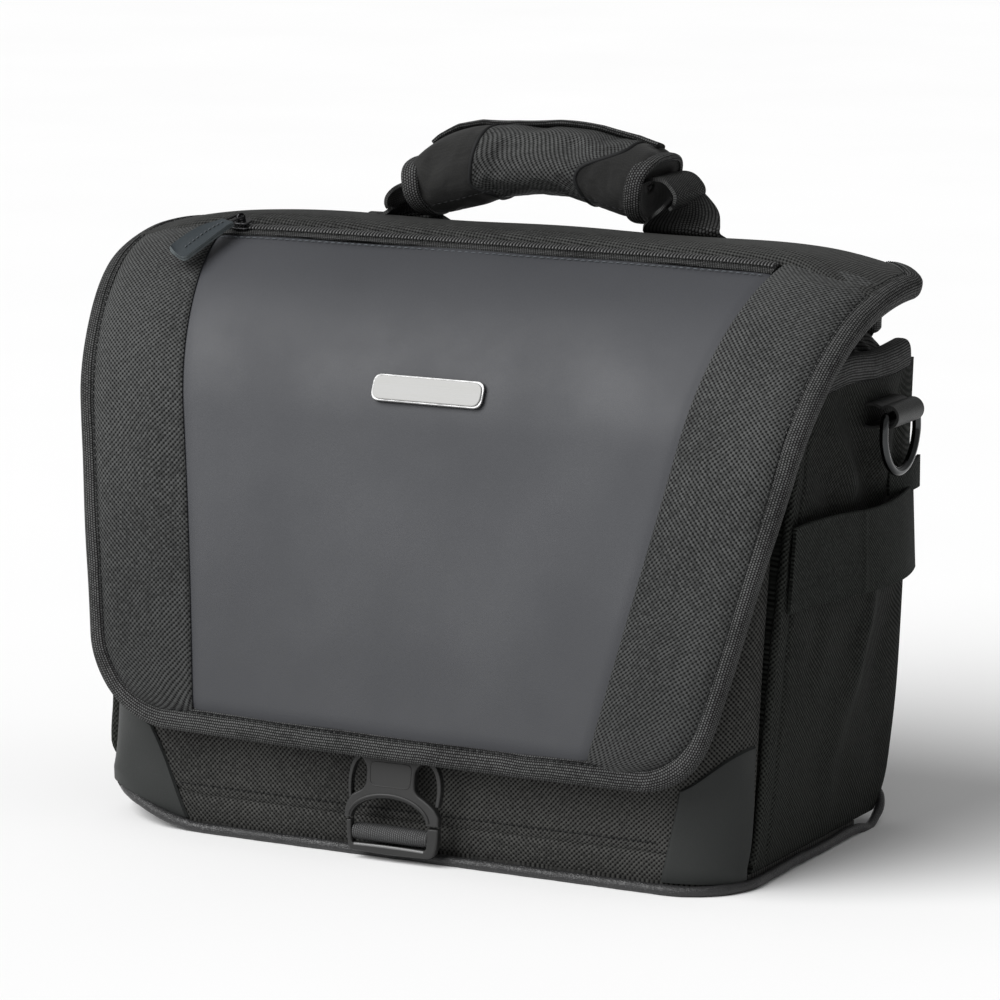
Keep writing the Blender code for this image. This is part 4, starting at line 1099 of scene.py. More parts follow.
def build_walls():
    def front_face(u, v):
        spot = along(FRONT_LINE, v)
        x = mix(-1, 1, u) * (side_x(spot[..., 1]) - WALL - 0.0004)
        return np.stack([x, spot[..., 0], spot[..., 1]], -1)
    fasten(shell("front_wall_cloth", grid(front_face, 90, 60), WALL, [NYLON_FRONT, LINING]),
           "bag", ("front_wall",))

    def back_face(u, v):
        spot = back_path(v)
        x = mix(1, -1, u) * (side_x(spot[..., 1]) - WALL - 0.0004)
        edge = np.minimum(u, 1 - u) * 0.33
        puff = 0.0032 * smoothstep(edge / 0.05) * np.sin(math.pi * np.clip(v, 0, 1)) ** 0.5
        sleeve = np.exp(-((spot[..., 1] - 0.132) / 0.060) ** 4) * smoothstep(
            (0.115 - np.abs(x)) / 0.02)
        puff = puff * (1 - sleeve) + 0.0005 * np.sin(x * 60) * np.sin(v * 9)
        return np.stack([x, spot[..., 0] + puff * smoothstep(v / 0.25),
                         spot[..., 1]], -1)
    outer = grid(back_face, 110, 90)
    fasten(shell("back_wall_cloth", outer, WALL + 0.0006, [NYLON_FRONT, LINING]), "bag",
           ("back_wall",))

    for side, sign in SIDES:
        def side_face(u, v, sign=sign):
            u = u if sign > 0 else 1 - u
            spot = side_spot(u, v)
            y, z = spot[..., 0], spot[..., 1]
            x = side_x(z) + side_puff(u, v, y, z, sign)
            seam = 0.0010 * bell(u - 0.075, 0.010) * smoothstep(v / 0.05)
            return np.stack([sign * (x - seam), y, z], -1)
        outer = grid(side_face, 90, 130)
        inset = WALL + np.abs(outer[..., 0]) - side_x(outer[..., 2])
        fasten(shell("side_cloth_" + side, outer, np.maximum(0.004, inset),
                     [NYLON_SIDE_PAINTED_SHADE, LINING]), "bag", ("side_wall_" + side,))

        # the corner seam: a narrow roll of cloth that runs up the front edge of the side
        t = np.linspace(0.0, 1.0, 90)
        line = along(FRONT_LINE, t)
        x = side_x(line[:, 1]) - 0.0008
        path = np.stack([sign * x, line[:, 0] + 0.0012, line[:, 1]], -1)
        radius = 0.0022 + 0.0002 * np.sin(t * 55)
        if sign < 0:
            plump = smoothstep((line[:, 1] - 0.016) / 0.016) * smoothstep(
                (0.120 - line[:, 1]) / 0.06)
            radius = radius + 0.0024 * plump
            path[:, 0] -= (0.0034 - 0.010 * line[:, 1]) * plump
            path[:, 1] -= 0.0042 * plump
        fasten(sweep("corner_roll_" + side, tube_rings(path, radius, 12, up=(1, 0, 0)),
                     [NYLON_SIDE_PAINTED_SHADE]), "bag")

        def divider(u, v, sign=sign):
            z = mix(0.0125, 0.185, v)
            front = y_at(FRONT_LINE, z) + WALL + 0.0018
            drop = np.maximum(0.0, 0.0004 + BACK_TURN - z)
            back = y_at(BACK_LINE, np.maximum(z, BACK_TURN + 0.001)) - WALL - 0.0026
            turned = BASE_BACK + np.sqrt(np.maximum(0.0, (BACK_TURN - WALL) ** 2 - drop ** 2))
            back = np.minimum(back, turned - 0.0026)
            edge = np.minimum(np.minimum(u, 1 - u) * 0.12, np.minimum(v, 1 - v) * 0.17)
            puff = 0.0030 * smoothstep(edge / 0.014) - 0.0008 * np.exp(
                -((edge - 0.016) / 0.0014) ** 2)
            return np.stack([sign * DIVIDER_X + (0.0020 + puff), mix(front, back, u), z], -1)
        near = grid(divider, 50, 70)
        swell = near[..., 0] - sign * DIVIDER_X
        fasten(shell("padded_divider_" + side, near, 2 * swell, [LOOP_CLOTH, LOOP_CLOTH]),
               "bag", ("divider_" + side,))

    def tape(u, v):
        x, z = mix(1, -1, u) * 0.150, mix(0.2060, 0.2290, v)
        return np.stack([x, 0.0900 + 0.0004 * np.sin(x * 90), z], -1)
    fasten(shell("hinge_seam_tape", grid(tape, 80, 8), 0.0010, [BINDING, BINDING]), "bag",
           ("hinge_tape",))

    # the cloth that carries on from the tape and is sewn inside the flap's back edge
    def fold(u, v):
        x = mix(1, -1, u) * mix(0.1500, 0.1530, smoothstep(v / 0.4))
        inner = flap_skin(np.full_like(x, FLAP_LENGTH - 0.0075), x, 0.0060)
        start = np.stack([x, 0.0888 + 0 * x, 0.2262 + 0 * x], -1)
        bulge = np.array([0.0, 0.0042, 0.0])
        share = np.expand_dims(v, -1)
        wave = 0.0006 * np.sin(x * 120 + v * 3) * np.sin(math.pi * v)
        spot = mix(start, inner, share) + bulge * np.sin(math.pi * share) ** 0.8
        spot[..., 1] += wave
        return spot
    cloth = shell("hinge_fold_cloth", grid(fold, 90, 16), 0.0012, [NYLON_SIDE_PAINTED_SHADE, LINING])
    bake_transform(cloth)


def build_rim():
    # a bound edge round three sides of the mouth
    corner = 0.0150
    z = 0.2236
    front = FRONT_LINE[-1, 0] + WALL / 2
    side = side_x(RIM_Z) - WALL / 2
    half = [(x, front, z) for x in np.linspace(0, side - corner, 24)]
    half += [(x, y, z) for x, y in arc((side - corner, front + corner), corner, -80, 0, 9)]
    half += [(side, y, z) for y in np.linspace(0.0, 0.0815, 18)]
    path = [(-x, y, w) for x, y, w in reversed(half[1:])] + half
    path = resample(np.array(path), 0.0022)
    sag = 0.0012 * np.sin(path[:, 1] * 70 + 1.0) * smoothstep((np.abs(path[:, 0]) - 0.15) / 0.02)
    path[:, 2] += sag
    out, up = frames_along(path, (0, 0, 1))
    rings = tape_rings(path, out, up, 0.0054, 0.0072, 3.0, 34)
    fasten(sweep("mouth_binding", rings, [BINDING]), "bag", ("rim_binding",))
    line = path + out * 0.0055 - np.array([0, 0, 0.0052])
    fasten(stitches("mouth_stitches", line, out, THREAD, lift=0.0002), "bag")

    for side, sign in SIDES:
        def ear(u, v, sign=sign):
            u_ = u if sign > 0 else 1 - u
            y = mix(-0.0035, 0.0830, u_)
            hump = np.sin(math.pi * np.clip(u_, 0.04, 0.96)) ** 0.5
            top = mix(0.2340, 0.2575, hump)
            z = mix(0.2080, top, v)
            fold = 0.0016 * np.sin((y * 0.8 + z * 0.9) * 520) * smoothstep(v / 0.3)
            lean = 0.0160 * v * v
            return np.stack([sign * (0.1652 - 0.004 * v - lean + 0.6 * fold), y, z], -1)
        fasten(shell("dust_ear_cloth_" + side, grid(ear, 70, 40), 0.0015, [RIBBED, LINING]),
               "bag", ("dust_ear_" + side,))


POCKET_TURN = 0.0380            # how far in from the side seam the pocket's end starts to turn
POCKET_FLAT = 5 / 9             # share of its width that is flat
POCKET_END = BASE_HALF - 0.0006


def pocket_spot(across, t, proud=0.0):
    """A point of the front pocket's outer face: across runs from -1 to 1, t upwards."""
    across, t, proud = np.broadcast_arrays(np.asarray(across, float), t, proud)
    line = along(POCKET_LINE, t)
    y, z = line[..., 0], line[..., 1]
    seam = y_at(FRONT_LINE, np.maximum(z, 0.0102)) - 0.0029
    flat = POCKET_END - POCKET_TURN
    share = np.abs(across)
    x_flat = flat * share / POCKET_FLAT
    swell = 0.0020 * (1 - (x_flat / flat) ** 2) * np.sin(math.pi * t)
    turn = math.pi / 2 * (share - POCKET_FLAT) / (1 - POCKET_FLAT)
    x = np.where(share < POCKET_FLAT, x_flat, flat + (POCKET_TURN + proud) * np.sin(turn))
    y_turn = mix(seam, y, np.cos(turn)) - proud * np.cos(turn)
    y = np.where(share < POCKET_FLAT, y - swell - proud, y_turn)
    return np.stack([np.sign(across + 1e-12) * x, y, z], -1)


def height_share(z):
    """The share of the way up the pocket's face at height z."""
    return np.interp(z, POCKET_LINE[:, 1], np.linspace(0, 1, len(POCKET_LINE)))


def kick(across, z):
    """The pocket swells forwards towards its foot, but not at its ends."""
    return 0.0048 * (1 - smoothstep(z / 0.042)) * (1 - smoothstep((np.abs(across) - 0.6) / 0.4))


def across_at(x):
    """The across value of the pocket's face at the x of a point."""
    flat = POCKET_END - POCKET_TURN
    x_abs = np.abs(x)
    turned = np.arcsin(np.clip((x_abs - flat) / POCKET_TURN, 0, 1)) * 2 / math.pi
    share = np.where(x_abs < flat, x_abs / flat * POCKET_FLAT,
                     POCKET_FLAT + turned * (1 - POCKET_FLAT))
    return np.sign(x) * share


def build_pocket():
    seam = 0.0176
    soft = lambda a, z: (0.0008 * np.sin(a * 9 + 0.5) * np.sin(z * 60 + 1)
                         + 0.0005 * np.sin(a * 21 - z * 50))

    def low(u, v):
        across = mix(-1, 1, u)
        z = mix(0.0030, seam, v)
        tuck = 0.0014 * bell(seam - z, 0.0016)
        return curled(pocket_spot(across, height_share(z), kick(across, z) - tuck))
    fasten(shell("pocket_foot", grid(low, 150, 14), 0.0022, [NYLON_FRONT, NYLON_FRONT]), "bag",
           ("pocket_gusset",))

    def face(u, v):
        across = mix(-1, 1, u)
        z = mix(seam - 0.0006, 0.1680, v)
        roll = 0.0012 * quarter((z - seam) / 0.0018)
        groove = 0.0005 * bell(z - seam - 0.0042, 0.0010)
        wave = soft(across, z) * smoothstep((z - seam) / 0.01) * smoothstep(
            (1 - np.abs(across)) / 0.2)
        return curled(pocket_spot(across, height_share(z), kick(across, z) + roll - 0.0010
                                  - groove + wave * 0.6))
    fasten(shell("pocket_face", grid(face, 170, 80), 0.0022, [NYLON_FRONT, LINING]), "bag",
           ("pocket_front",))

    across = across_at(np.linspace(-0.124, 0.131, 260))
    line = pocket_spot(across, height_share(seam + 0.0042),
                       kick(across, seam + 0.0042) + 0.0001)
    out = np.tile([0.0, -1.0, 0.2], (len(line), 1))
    fasten(stitches("pocket_foot_stitches", line, out, THREAD), "bag")

    # the smooth corner patches, with a slanted upper edge
    for side, sign in SIDES:
        def patch(u, v, sign=sign):
            out = u if sign > 0 else 1 - u
            inner = mix(0.1325, 0.1410, v) if sign > 0 else mix(0.1150, 0.1355, v)
            outer = 0.1656
            x = mix(inner, outer, out)
            high = 0.0650 if sign > 0 else 0.0700
            top = mix(0.0470, high, smoothstep(out) * 0.5 + 0.5 * out)
            z = mix(0.0042, top, v)
            edge = np.minimum(out * 0.03, (1 - v) * 0.05)
            proud = 0.0013 * quarter(edge / 0.0013)
            dent = 0.0004 * np.sin(z * 90 + 2) * np.sin(out * 4)
            across = sign * across_at(x)
            return curled(pocket_spot(across, height_share(z),
                                      kick(across, z) + proud + 0.0004 + dent))
        fasten(shell("corner_patch_skin_" + side, grid(patch, 40, 60), 0.0012,
                     [PATCH, PATCH]), "bag", ("corner_patch_" + side,))

    # the pocket's mouth, under the flap
    across = np.linspace(-0.97, 0.97, 150)
    line = pocket_spot(across, 1.0) + np.array([0, -0.0003, 0.0018])
    out, up = frames_along(line, (0, 0, 1))
    rings = tape_rings(line, out, up, 0.0028, 0.0058, 2.6, 26)
    fasten(sweep("pocket_mouth_binding", rings, [BINDING]), "bag",
           ("pocket_binding",))


RING_SPOT = (0.1862, 0.2020)    # X and Z of the bar that each ring turns on


def build_sides():
    for side, sign in SIDES:
        route = spline([(0.1752, -0.0475), (0.1775, -0.0300), (0.1815, 0.0000),
                        (0.1845, 0.0300), (0.1842, 0.0560), (0.1800, 0.0780),
                        (0.1762, 0.0860)], 160)

        def strap(u, v, sign=sign):
            u_ = u if sign > 0 else 1 - u
            spot = along(route, u_)
            z = 0.1420 + mix(-0.5, 0.5, v) * 0.0382
            z = z + 0.0012 * np.sin(u_ * 7.0 + 0.4) * (0.3 + v)
            lean = 0.0016 * np.sin(u_ * 5 + 1) * (v - 0.5) * 2
            step = 0.0006 * bell(u_ - 0.46, 0.01)
            return np.stack([sign * (spot[..., 0] + lean + step), spot[..., 1], z], -1)
        fasten(shell("side_strap_" + side, grid(strap, 110, 26), 0.0017, [BAND, BAND]), "bag",
               ("side_band_" + side,))
        # its woven selvedge: a scalloped cord along the upper and lower edges
        for edge, v in (("upper", 1.0), ("lower", 0.0)):
            u = np.linspace(0, 1, 420) if sign > 0 else np.linspace(1, 0, 420)
            line = strap(u, np.full_like(u, v))
            line[:, 0] -= sign * 0.0008
            bead = 0.00062 + 0.00022 * np.abs(np.sin(np.arange(len(u)) * 0.9))
            line[:, 2] += (1 if v else -1) * 0.0002
            fasten(sweep("strap_selvedge_%s_%s" % (edge, side),
                         tube_rings(line, bead, 7, up=(0, 0, 1)), [BAND]), "bag")

        # a second short end of webbing, sewn in above the strap at the back seam
        def stub(u, v, sign=sign):
            u_ = u if sign > 0 else 1 - u
            y = mix(0.0560, 0.0880, u_)
            x = 0.1768 + 0.0030 * np.sin(math.pi * u_ * 0.8)
            z = mix(0.1600, 0.1712 + 0.0040 * u_, v)
            return np.stack([sign * (x + 0 * v), y, z], -1)
        fasten(shell("strap_stub_" + side, grid(stub, 26, 10), 0.0016, [BAND, BAND]), "bag")

        # the leather tab rolled round the ring's bar
        centre = np.array(RING_SPOT)
        roll = arc(tuple(centre), 0.0044, 135, -135, 40)
        loop = [(0.1748, 0.2064), (0.1772, 0.2068), (0.1800, 0.2066)] + roll[1:-1]
        loop += [(0.1800, 0.1974), (0.1772, 0.1972), (0.1748, 0.1976)]
        loop = spline(loop, 120)

        def tab(u, v, sign=sign):
            spot = along(loop, v)
            u_ = u if sign > 0 else 1 - u
            y = mix(0.0312, 0.0608, u_)
            pinch = 1 - 0.05 * np.sin(math.pi * u_)
            x = centre[0] + (spot[..., 0] - centre[0]) * pinch
            return np.stack([sign * x, y, spot[..., 1]], -1)
        fasten(shell("ring_tab_" + side, grid(tab, 16, 110), 0.0012, [ROLL, ROLL]), "bag",
               ("ring_loop_" + side,))


def build_rings():
    for side, sign in SIDES:
        x = sign * RING_SPOT[0]
        bow = [(0.0460 + 0.0192 * math.sin(math.radians(a)),
                0.1950 - 0.0205 * math.cos(math.radians(a))) for a in range(-84, 85, 12)]
        ring = [(x, y, RING_SPOT[1]) for y in (0.0300, 0.0360, 0.0460, 0.0560, 0.0620)]
        ring += [(x, 0.0644, 0.2004)]
        ring += [(x, y, z) for y, z in reversed(bow)]
        ring += [(x, 0.0276, 0.2004)]
        path = spline(ring + ring[:1], 220)[:-1]
        rings = tube_rings(path, 0.0021, 18, up=(1, 0, 0), cyclic=True)
        body = "ring_" + side
        fasten(sweep("dark_ring_" + side, rings, [RING_METAL], cyclic=True), body,
               ("d_ring_" + side,))


def build_back():
    def sleeve(u, v):
        x, z = mix(1, -1, u) * 0.098, mix(0.085, 0.180, v)
        bulge = 0.0088 * np.sin(math.pi * np.clip(u, 0, 1)) ** 0.4
        wave = 0.0012 * np.sin(u * 13) * (v - 0.5) * np.sin(math.pi * u)
        hem = 0.0008 * (bell(v - 0.08, 0.02) + bell(v - 0.92, 0.02))
        return np.stack([x, 0.0902 + bulge + wave - hem * np.sin(math.pi * u), z], -1)
    fasten(shell("trolley_sleeve_cloth", grid(sleeve, 110, 40), 0.0016,
                 [NYLON_FRONT, LINING]), "bag", ("trolley_sleeve",))
    for edge, v in (("upper", 1.0), ("lower", 0.0)):
        u = np.linspace(0, 1, 160)
        line = sleeve(u, np.full_like(u, v))
        line[:, 1] -= 0.0008
        out, up = frames_along(line, (0, 0, 1))
        rings = tape_rings(line, out, up, 0.0016, 0.0040, 2.6, 18)
        fasten(sweep("sleeve_binding_" + edge, rings, [BINDING]), "bag")


build_base()
build_walls()
build_rim()
build_pocket()
build_sides()
build_rings()
build_back()


# ---------------------------------------------------------------- the handle
GRIP_TOP = np.array([(-0.0690, 0.3010), (-0.0640, 0.3085), (-0.0560, 0.3150),
                     (-0.0460, 0.3205), (-0.0340, 0.3240), (-0.0150, 0.3252),
                     (0.0080, 0.3252), (0.0300, 0.3240), (0.0480, 0.3215), (0.0600, 0.3180),
                     (0.0660, 0.3125)])
GRIP_FOOT = np.array([(-0.0690, 0.2850), (-0.0600, 0.2815), (-0.0500, 0.2815),
                      (-0.0360, 0.2850), (-0.0200, 0.2905), (0.0000, 0.2930),
                      (0.0180, 0.2925), (0.0330, 0.2895), (0.0450, 0.2862), (0.0570, 0.2843),
                      (0.0660, 0.2860)])
GRIP_COLUMNS = (20, 40, 22)     # mesh columns of its left, middle and right panels
GRIP_SEAMS = (GRIP_COLUMNS[0], GRIP_COLUMNS[0] + GRIP_COLUMNS[1])


def grip_surface(x, angle, proud=0.0):
    """The grip's skin: angle 0 faces the front, 90 degrees is its top."""
    top = np.interp(x, GRIP_TOP[:, 0], GRIP_TOP[:, 1])
    foot = np.interp(x, GRIP_FOOT[:, 0], GRIP_FOOT[:, 1])
    c, s = np.cos(angle), np.sin(angle)
    power = 2 / 2.5
    deep = 0.0196 + 0.0012 * smoothstep((np.abs(x) - 0.02) / 0.04)
    deep = deep * (1 - 0.16 * (s < 0) * s * s)
    y = 0.0450 - (deep + proud) * np.sign(c) * np.abs(c) ** power
    half = (top - foot) / 2 + proud
    z = (top + foot) / 2 + half * np.sign(s) * np.abs(s) ** power
    return np.stack([x + 0 * y, y, z], -1)


def grip_limits(angle):
    """X of the grip's left end, its two panel seams and its right end, round the section."""
    s, c = np.sin(angle), np.cos(angle)
    left = -(0.0640 + 0.0030 * s)
    right = 0.0612 + 0.0038 * s
    sweep_left = -0.0285 + 0.0030 * s + 0.0125 * smoothstep((-s - 0.25) / 0.7)
    over = smoothstep((s + 0.15) / 1.1)
    sweep_right = 0.0265 + 0.0260 * over + 0.0040 * smoothstep(-s)
    sweep_right = sweep_right - 0.012 * smoothstep((-c - 0.1) / 0.6) * smoothstep(s)
    return left, sweep_left, sweep_right, right


def outwards(points, centre):
    """Directions from a centre to points, square to the grip's length."""
    way = points - centre
    way[..., 0] = 0
    return unit(way)


def build_grip():
    around = 64
    angle = np.linspace(0, 2 * math.pi, around, endpoint=False) - math.pi / 2
    knots = grip_limits(angle)
    columns = []
    for k, count in enumerate(GRIP_COLUMNS):
        steps = np.linspace(0, 1, count + 1)
        columns += [mix(knots[k], knots[k + 1], t) for t in (steps if k == 0 else steps[1:])]
    columns = np.array(columns)
    skin = grip_surface(columns, np.broadcast_to(angle, columns.shape))
    for _ in range(6):
        skin[1:-1] = skin[1:-1] * 0.5 + (skin[:-2] + skin[2:]) * 0.25
    skin = inflate_grip(skin)
    stations = len(skin)
    lengths, girth = spaced(skin, 0), girth_of(skin)
    verts = list(skin.reshape(-1, 3))
    faces, corners, slots = tube_faces(stations, around), [], []
    for i in range(stations - 1):
        middle = GRIP_SEAMS[0] <= i < GRIP_SEAMS[1]
        for j in range(around):
            m = (j + 1) % around
            corners += [(lengths[i, j], girth[i, j]), (lengths[i, m], girth[i, j + 1]),
                        (lengths[i + 1, m], girth[i + 1, j + 1]),
                        (lengths[i + 1, j], girth[i + 1, j])]
            slots.append(0 if middle else 1)
    # sunken ends, round the strap that comes out of them
    for end, row in ((0, skin[0]), (1, skin[-1])):
        centre = row.mean(axis=0)
        base = end * (stations - 1) * around
        previous = [base + j for j in range(around)]
        for share, depth in ((0.86, 0.0002), (0.70, 0.0016), (0.45, 0.0040), (0.12, 0.0044)):
            ring = centre + (row - centre) * share
            ring = ring + np.array([(1 - 2 * end) * depth, 0, 0])
            first = len(verts)
            verts += list(ring)
            for j in range(around):
                m = (j + 1) % around
                quad = (previous[j], first + j, first + m, previous[m])
                faces.append(quad if end == 0 else quad[::-1])
                corners += [(0.0, 0.0)] * 4
                slots.append(1)
            previous = [first + j for j in range(around)]
        faces.append(tuple(previous) if end == 0 else tuple(previous)[::-1])
        corners += [(0.0, 0.0)] * around
        slots.append(1)
    grip = make_piece("padded_grip", verts, faces, corners, [NYLON, NEOPRENE], slots)
    mod = grip.modifiers.new("smooth", "SUBSURF")
    mod.levels = mod.render_levels = 1
    fasten(grip, "handle", ("handle_grip",))

    # a sunk seam at each side of the middle panel
    for label, column in zip(("left", "right"), GRIP_SEAMS):
        ring = tube_rings(skin[column], 0.0010, 10, up=(1, 0, 0), cyclic=True)
        fasten(sweep("grip_seam_" + label, ring, [THREAD], cyclic=True), "handle")

    # the bound ends
    for label, column, sign in (("left", 1, -1), ("right", len(skin) - 2, 1)):
        way = outwards(skin[column], skin[column].mean(axis=0))
        line = skin[column] + way * 0.0002 + np.array([sign * -0.0016, 0, 0])
        tangent = unit(np.roll(line, -1, axis=0) - np.roll(line, 1, axis=0))
        out = unit(way - tangent * np.sum(way * tangent, axis=1, keepdims=True))
        rings = tape_rings(line, np.cross(tangent, out), out, 0.0044, 0.0019, 2.6, 24)
        fasten(sweep("grip_end_binding_" + label, rings, [BINDING], cyclic=True), "handle")

    # the bound edge of the wrap, along the top at the back
    t = np.linspace(-0.0600, 0.0590, 110)
    over = np.radians(104.0)
    line = grip_surface(t, np.full_like(t, over), 0.0010)
    line[:, 2] += 0.0006 * np.sin(t * 90)
    way = unit(grip_surface(t, np.full_like(t, over), 0.0030) - line)
    side, up = frames_along(line, way)
    rings = tape_rings(line, side, up, 0.0052, 0.0016, 2.6, 24)
    fasten(sweep("grip_wrap_binding", rings, [BINDING]), "handle")
    # the closing seam underneath the front
    t = np.linspace(-0.0590, 0.0560, 90)
    line = grip_surface(t, np.radians(-38.0) + 0 * t, 0.0006)
    fasten(stitches("grip_under_stitches", line, np.array([0, -0.7, -0.7]), THREAD), "handle")


def inflate_grip(skin):
    """Blows the grip's panels up between their seams with Blender's cloth, then reads them."""
    stations, around = skin.shape[:2]
    verts = list(skin.reshape(-1, 3)) + [tuple(skin[0].mean(axis=0)),
                                         tuple(skin[-1].mean(axis=0))]
    faces = tube_faces(stations, around)
    for j in range(around):
        m = (j + 1) % around
        faces.append((j, stations * around, m))
        faces.append(((stations - 1) * around + m, stations * around + 1,
                      (stations - 1) * around + j))
    uvs = [(0.0, 0.0)] * sum(len(f) for f in faces)
    obj = make_piece("grip_cloth", verts, faces, uvs, [NEOPRENE])
    pinned = obj.vertex_groups.new(name="held")
    seams = (0, 1, *GRIP_SEAMS, stations - 2, stations - 1)
    held = [i * around + j for i in seams for j in range(around)]
    held += [i * around for i in range(stations)]
    held += [stations * around, stations * around + 1]
    pinned.add(sorted(set(held)), 1.0, "REPLACE")
    spots = run_cloth(obj, pressure=5.0, frames=18, pin="held", shrink=-0.012)
    moved = spots[:stations * around].reshape(skin.shape) - skin
    size = np.linalg.norm(moved, axis=-1, keepdims=True)
    cap = 0.0035
    return skin + moved * np.minimum(1.0, cap / np.maximum(size, 1e-9))


def run_cloth(obj, pressure, frames, pin, shrink):
    """Runs Blender's cloth on a mesh and gives back where its vertices end up."""
    scene = bpy.context.scene
    mod = obj.modifiers.new("cloth", "CLOTH")
    cloth = mod.settings
    cloth.quality = 6
    cloth.mass = 0.25
    cloth.tension_stiffness = cloth.compression_stiffness = 25.0
    cloth.shear_stiffness = 12.5
    cloth.bending_stiffness = 1.5
    cloth.use_pressure = True
    cloth.uniform_pressure_force = pressure
    cloth.shrink_min = shrink
    cloth.effector_weights.gravity = 0.0
    cloth.vertex_group_mass = pin
    mod.collision_settings.use_collision = False
    mod.point_cache.frame_start = 1
    mod.point_cache.frame_end = frames
    for step in range(1, frames + 1):
        scene.frame_set(step)
    shape = obj.evaluated_get(bpy.context.evaluated_depsgraph_get()).data
    spots = np.empty(len(shape.vertices) * 3)
    shape.vertices.foreach_get("co", spots)
    mesh = obj.data
    bpy.data.objects.remove(obj)
    bpy.data.meshes.remove(mesh)
    scene.frame_set(1)
    return spots.reshape(-1, 3)


def ribbon(name, stops, body, stands, columns=22):
    """A strip of webbing through stops of (centre, width direction, half width)."""
    table = np.array([tuple(c) + tuple(w) + (h,) for c, w, h in stops], float)
    knots = reach_of(table[:, :3])
    line = between(table, knots, np.linspace(0, knots[-1], 71))
    side = unit(line[:, 3:6])
    across = np.linspace(-1, 1, columns + 1)
    spots = (line[:, None, :3] + side[:, None] * (across[None, :, None]
                                                  * line[:, None, 6:7]))
    fasten(shell(name, spots, 0.0017, [WEBBING, WEBBING]), body, stands)


# the handle's feet: fasten only bakes these pieces in place, so the flap, the handle and the two
# points named here are not used
ROOTS = ("flap", "handle", (0.0, 0.0450, 0.2820), (0.0, 0.0450, 0.2950))
FOOT_X = 0.0740                 # how far out each foot is sewn down


def build_straps():
    ribbon("handle_webbing_right",
           [((0.0560, 0.0450, 0.3010), (0, 1, 0), 0.0150),
            ((0.0640, 0.0450, 0.3045), (0, 1, 0), 0.0155),
            ((0.0715, 0.0445, 0.3042), (0, 1, 0), 0.0158),
            ((0.0768, 0.0440, 0.2992), (0, 1, 0), 0.0160),
            ((0.0764, 0.0440, 0.2950), (0, 1, 0), 0.0155),
            ((0.0735, 0.0445, 0.2922), (0, 1, 0), 0.0145)],
           "handle", ("handle_strap_right",))
    ribbon("handle_webbing_left",
           [((-0.0560, 0.0450, 0.2980), (0, -1, 0), 0.0140),
            ((-0.0650, 0.0450, 0.2958), (0, -1, 0), 0.0145),
            ((-0.0715, 0.0445, 0.2930), (0, -1, 0), 0.0148),
            ((-0.0755, 0.0440, 0.2892), (0, -1, 0), 0.0145),
            ((-0.0765, 0.0440, 0.2858), (0, -1, 0), 0.0142),
            ((-0.0760, 0.0450, 0.2835), (0, -1, 0), 0.0140)],
           "handle", ("handle_strap_left",))

    def seat(x, s):
        return tuple(flap_skin(s, x, -0.0022))

    def sewn(x):
        return [(seat(x, s), (1, 0, 0), 0.0190) for s in (0.3020, 0.3130, 0.3240)]
    ribbon("handle_root_right",
           [((0.0742, 0.0450, 0.2976), (0, 1, 0), 0.0150),
            ((0.0750, 0.0450, 0.2925), (0.35, 0.93, 0), 0.0158),
            ((0.0748, 0.0445, 0.2875), (0.70, 0.70, 0), 0.0170),
            ((0.0742, 0.0435, 0.2825), (0.93, 0.35, 0), 0.0182),
            (seat(0.0738, 0.2920), (1, 0.10, 0), 0.0188)] + sewn(FOOT_X),
           ROOTS, ("handle_anchor_right", "anchor_roll_right"), columns=30)
    ribbon("handle_root_left",
           [((-0.0758, 0.0450, 0.2842), (0, 1, 0), 0.0135),
            ((-0.0756, 0.0445, 0.2815), (0.25, 0.95, 0), 0.0145),
            ((-0.0745, 0.0420, 0.2790), (0.80, 0.60, 0), 0.0170),
            (seat(-0.0740, 0.2920), (1, 0.10, 0), 0.0188)] + sewn(-FOOT_X),
           ROOTS, ("handle_anchor_left", "anchor_roll_left"), columns=30)
    for side, sign in SIDES:
        # each end is sewn down with a box and a cross: one side of the box is already there
        corners = [(-0.0160, 0.3020), (0.0160, 0.3020), (0.0160, 0.3220), (-0.0160, 0.3220),
                   (-0.0160, 0.3020), (0.0160, 0.3220), (0.0160, 0.3020), (-0.0160, 0.3220)]
        for n, (a, b) in enumerate(zip(corners, corners[1:])):
            if n == 5:
                continue
            t = np.linspace(0, 1, 30)
            x = sign * FOOT_X + mix(a[0], b[0], t)
            s = mix(a[1], b[1], t)
            line, up = flap_skin(s, x, -0.0024), flap_normal(s, x)
            fasten(stitches("root_stitches_%s_%d" % (side, n), line, up, PALE_THREAD,
                            pitch=0.0030, length=0.0022), "flap")


# ---------------------------------------------------------------- the buckle
BUCKLE_Y = -0.1078
SPLIT_Z = 0.0194


def facing(z):
    """The frame of an upright plate at height z, whose own X and Y lie across and up."""
    return Matrix.Translation((0, BUCKLE_Y, z)) @ Matrix.Rotation(math.radians(90), 4, "X")


def both_halves(half, rim=0.0196, share=0.52):
    """A closed outline from its right half. The left half's rim is narrower."""
    left = [(-min(x, rim + (x - rim) * share) if x > rim else -x, y) for x, y in half]
    return half + [(x, y) for x, y in reversed(left) if x < -1e-6]


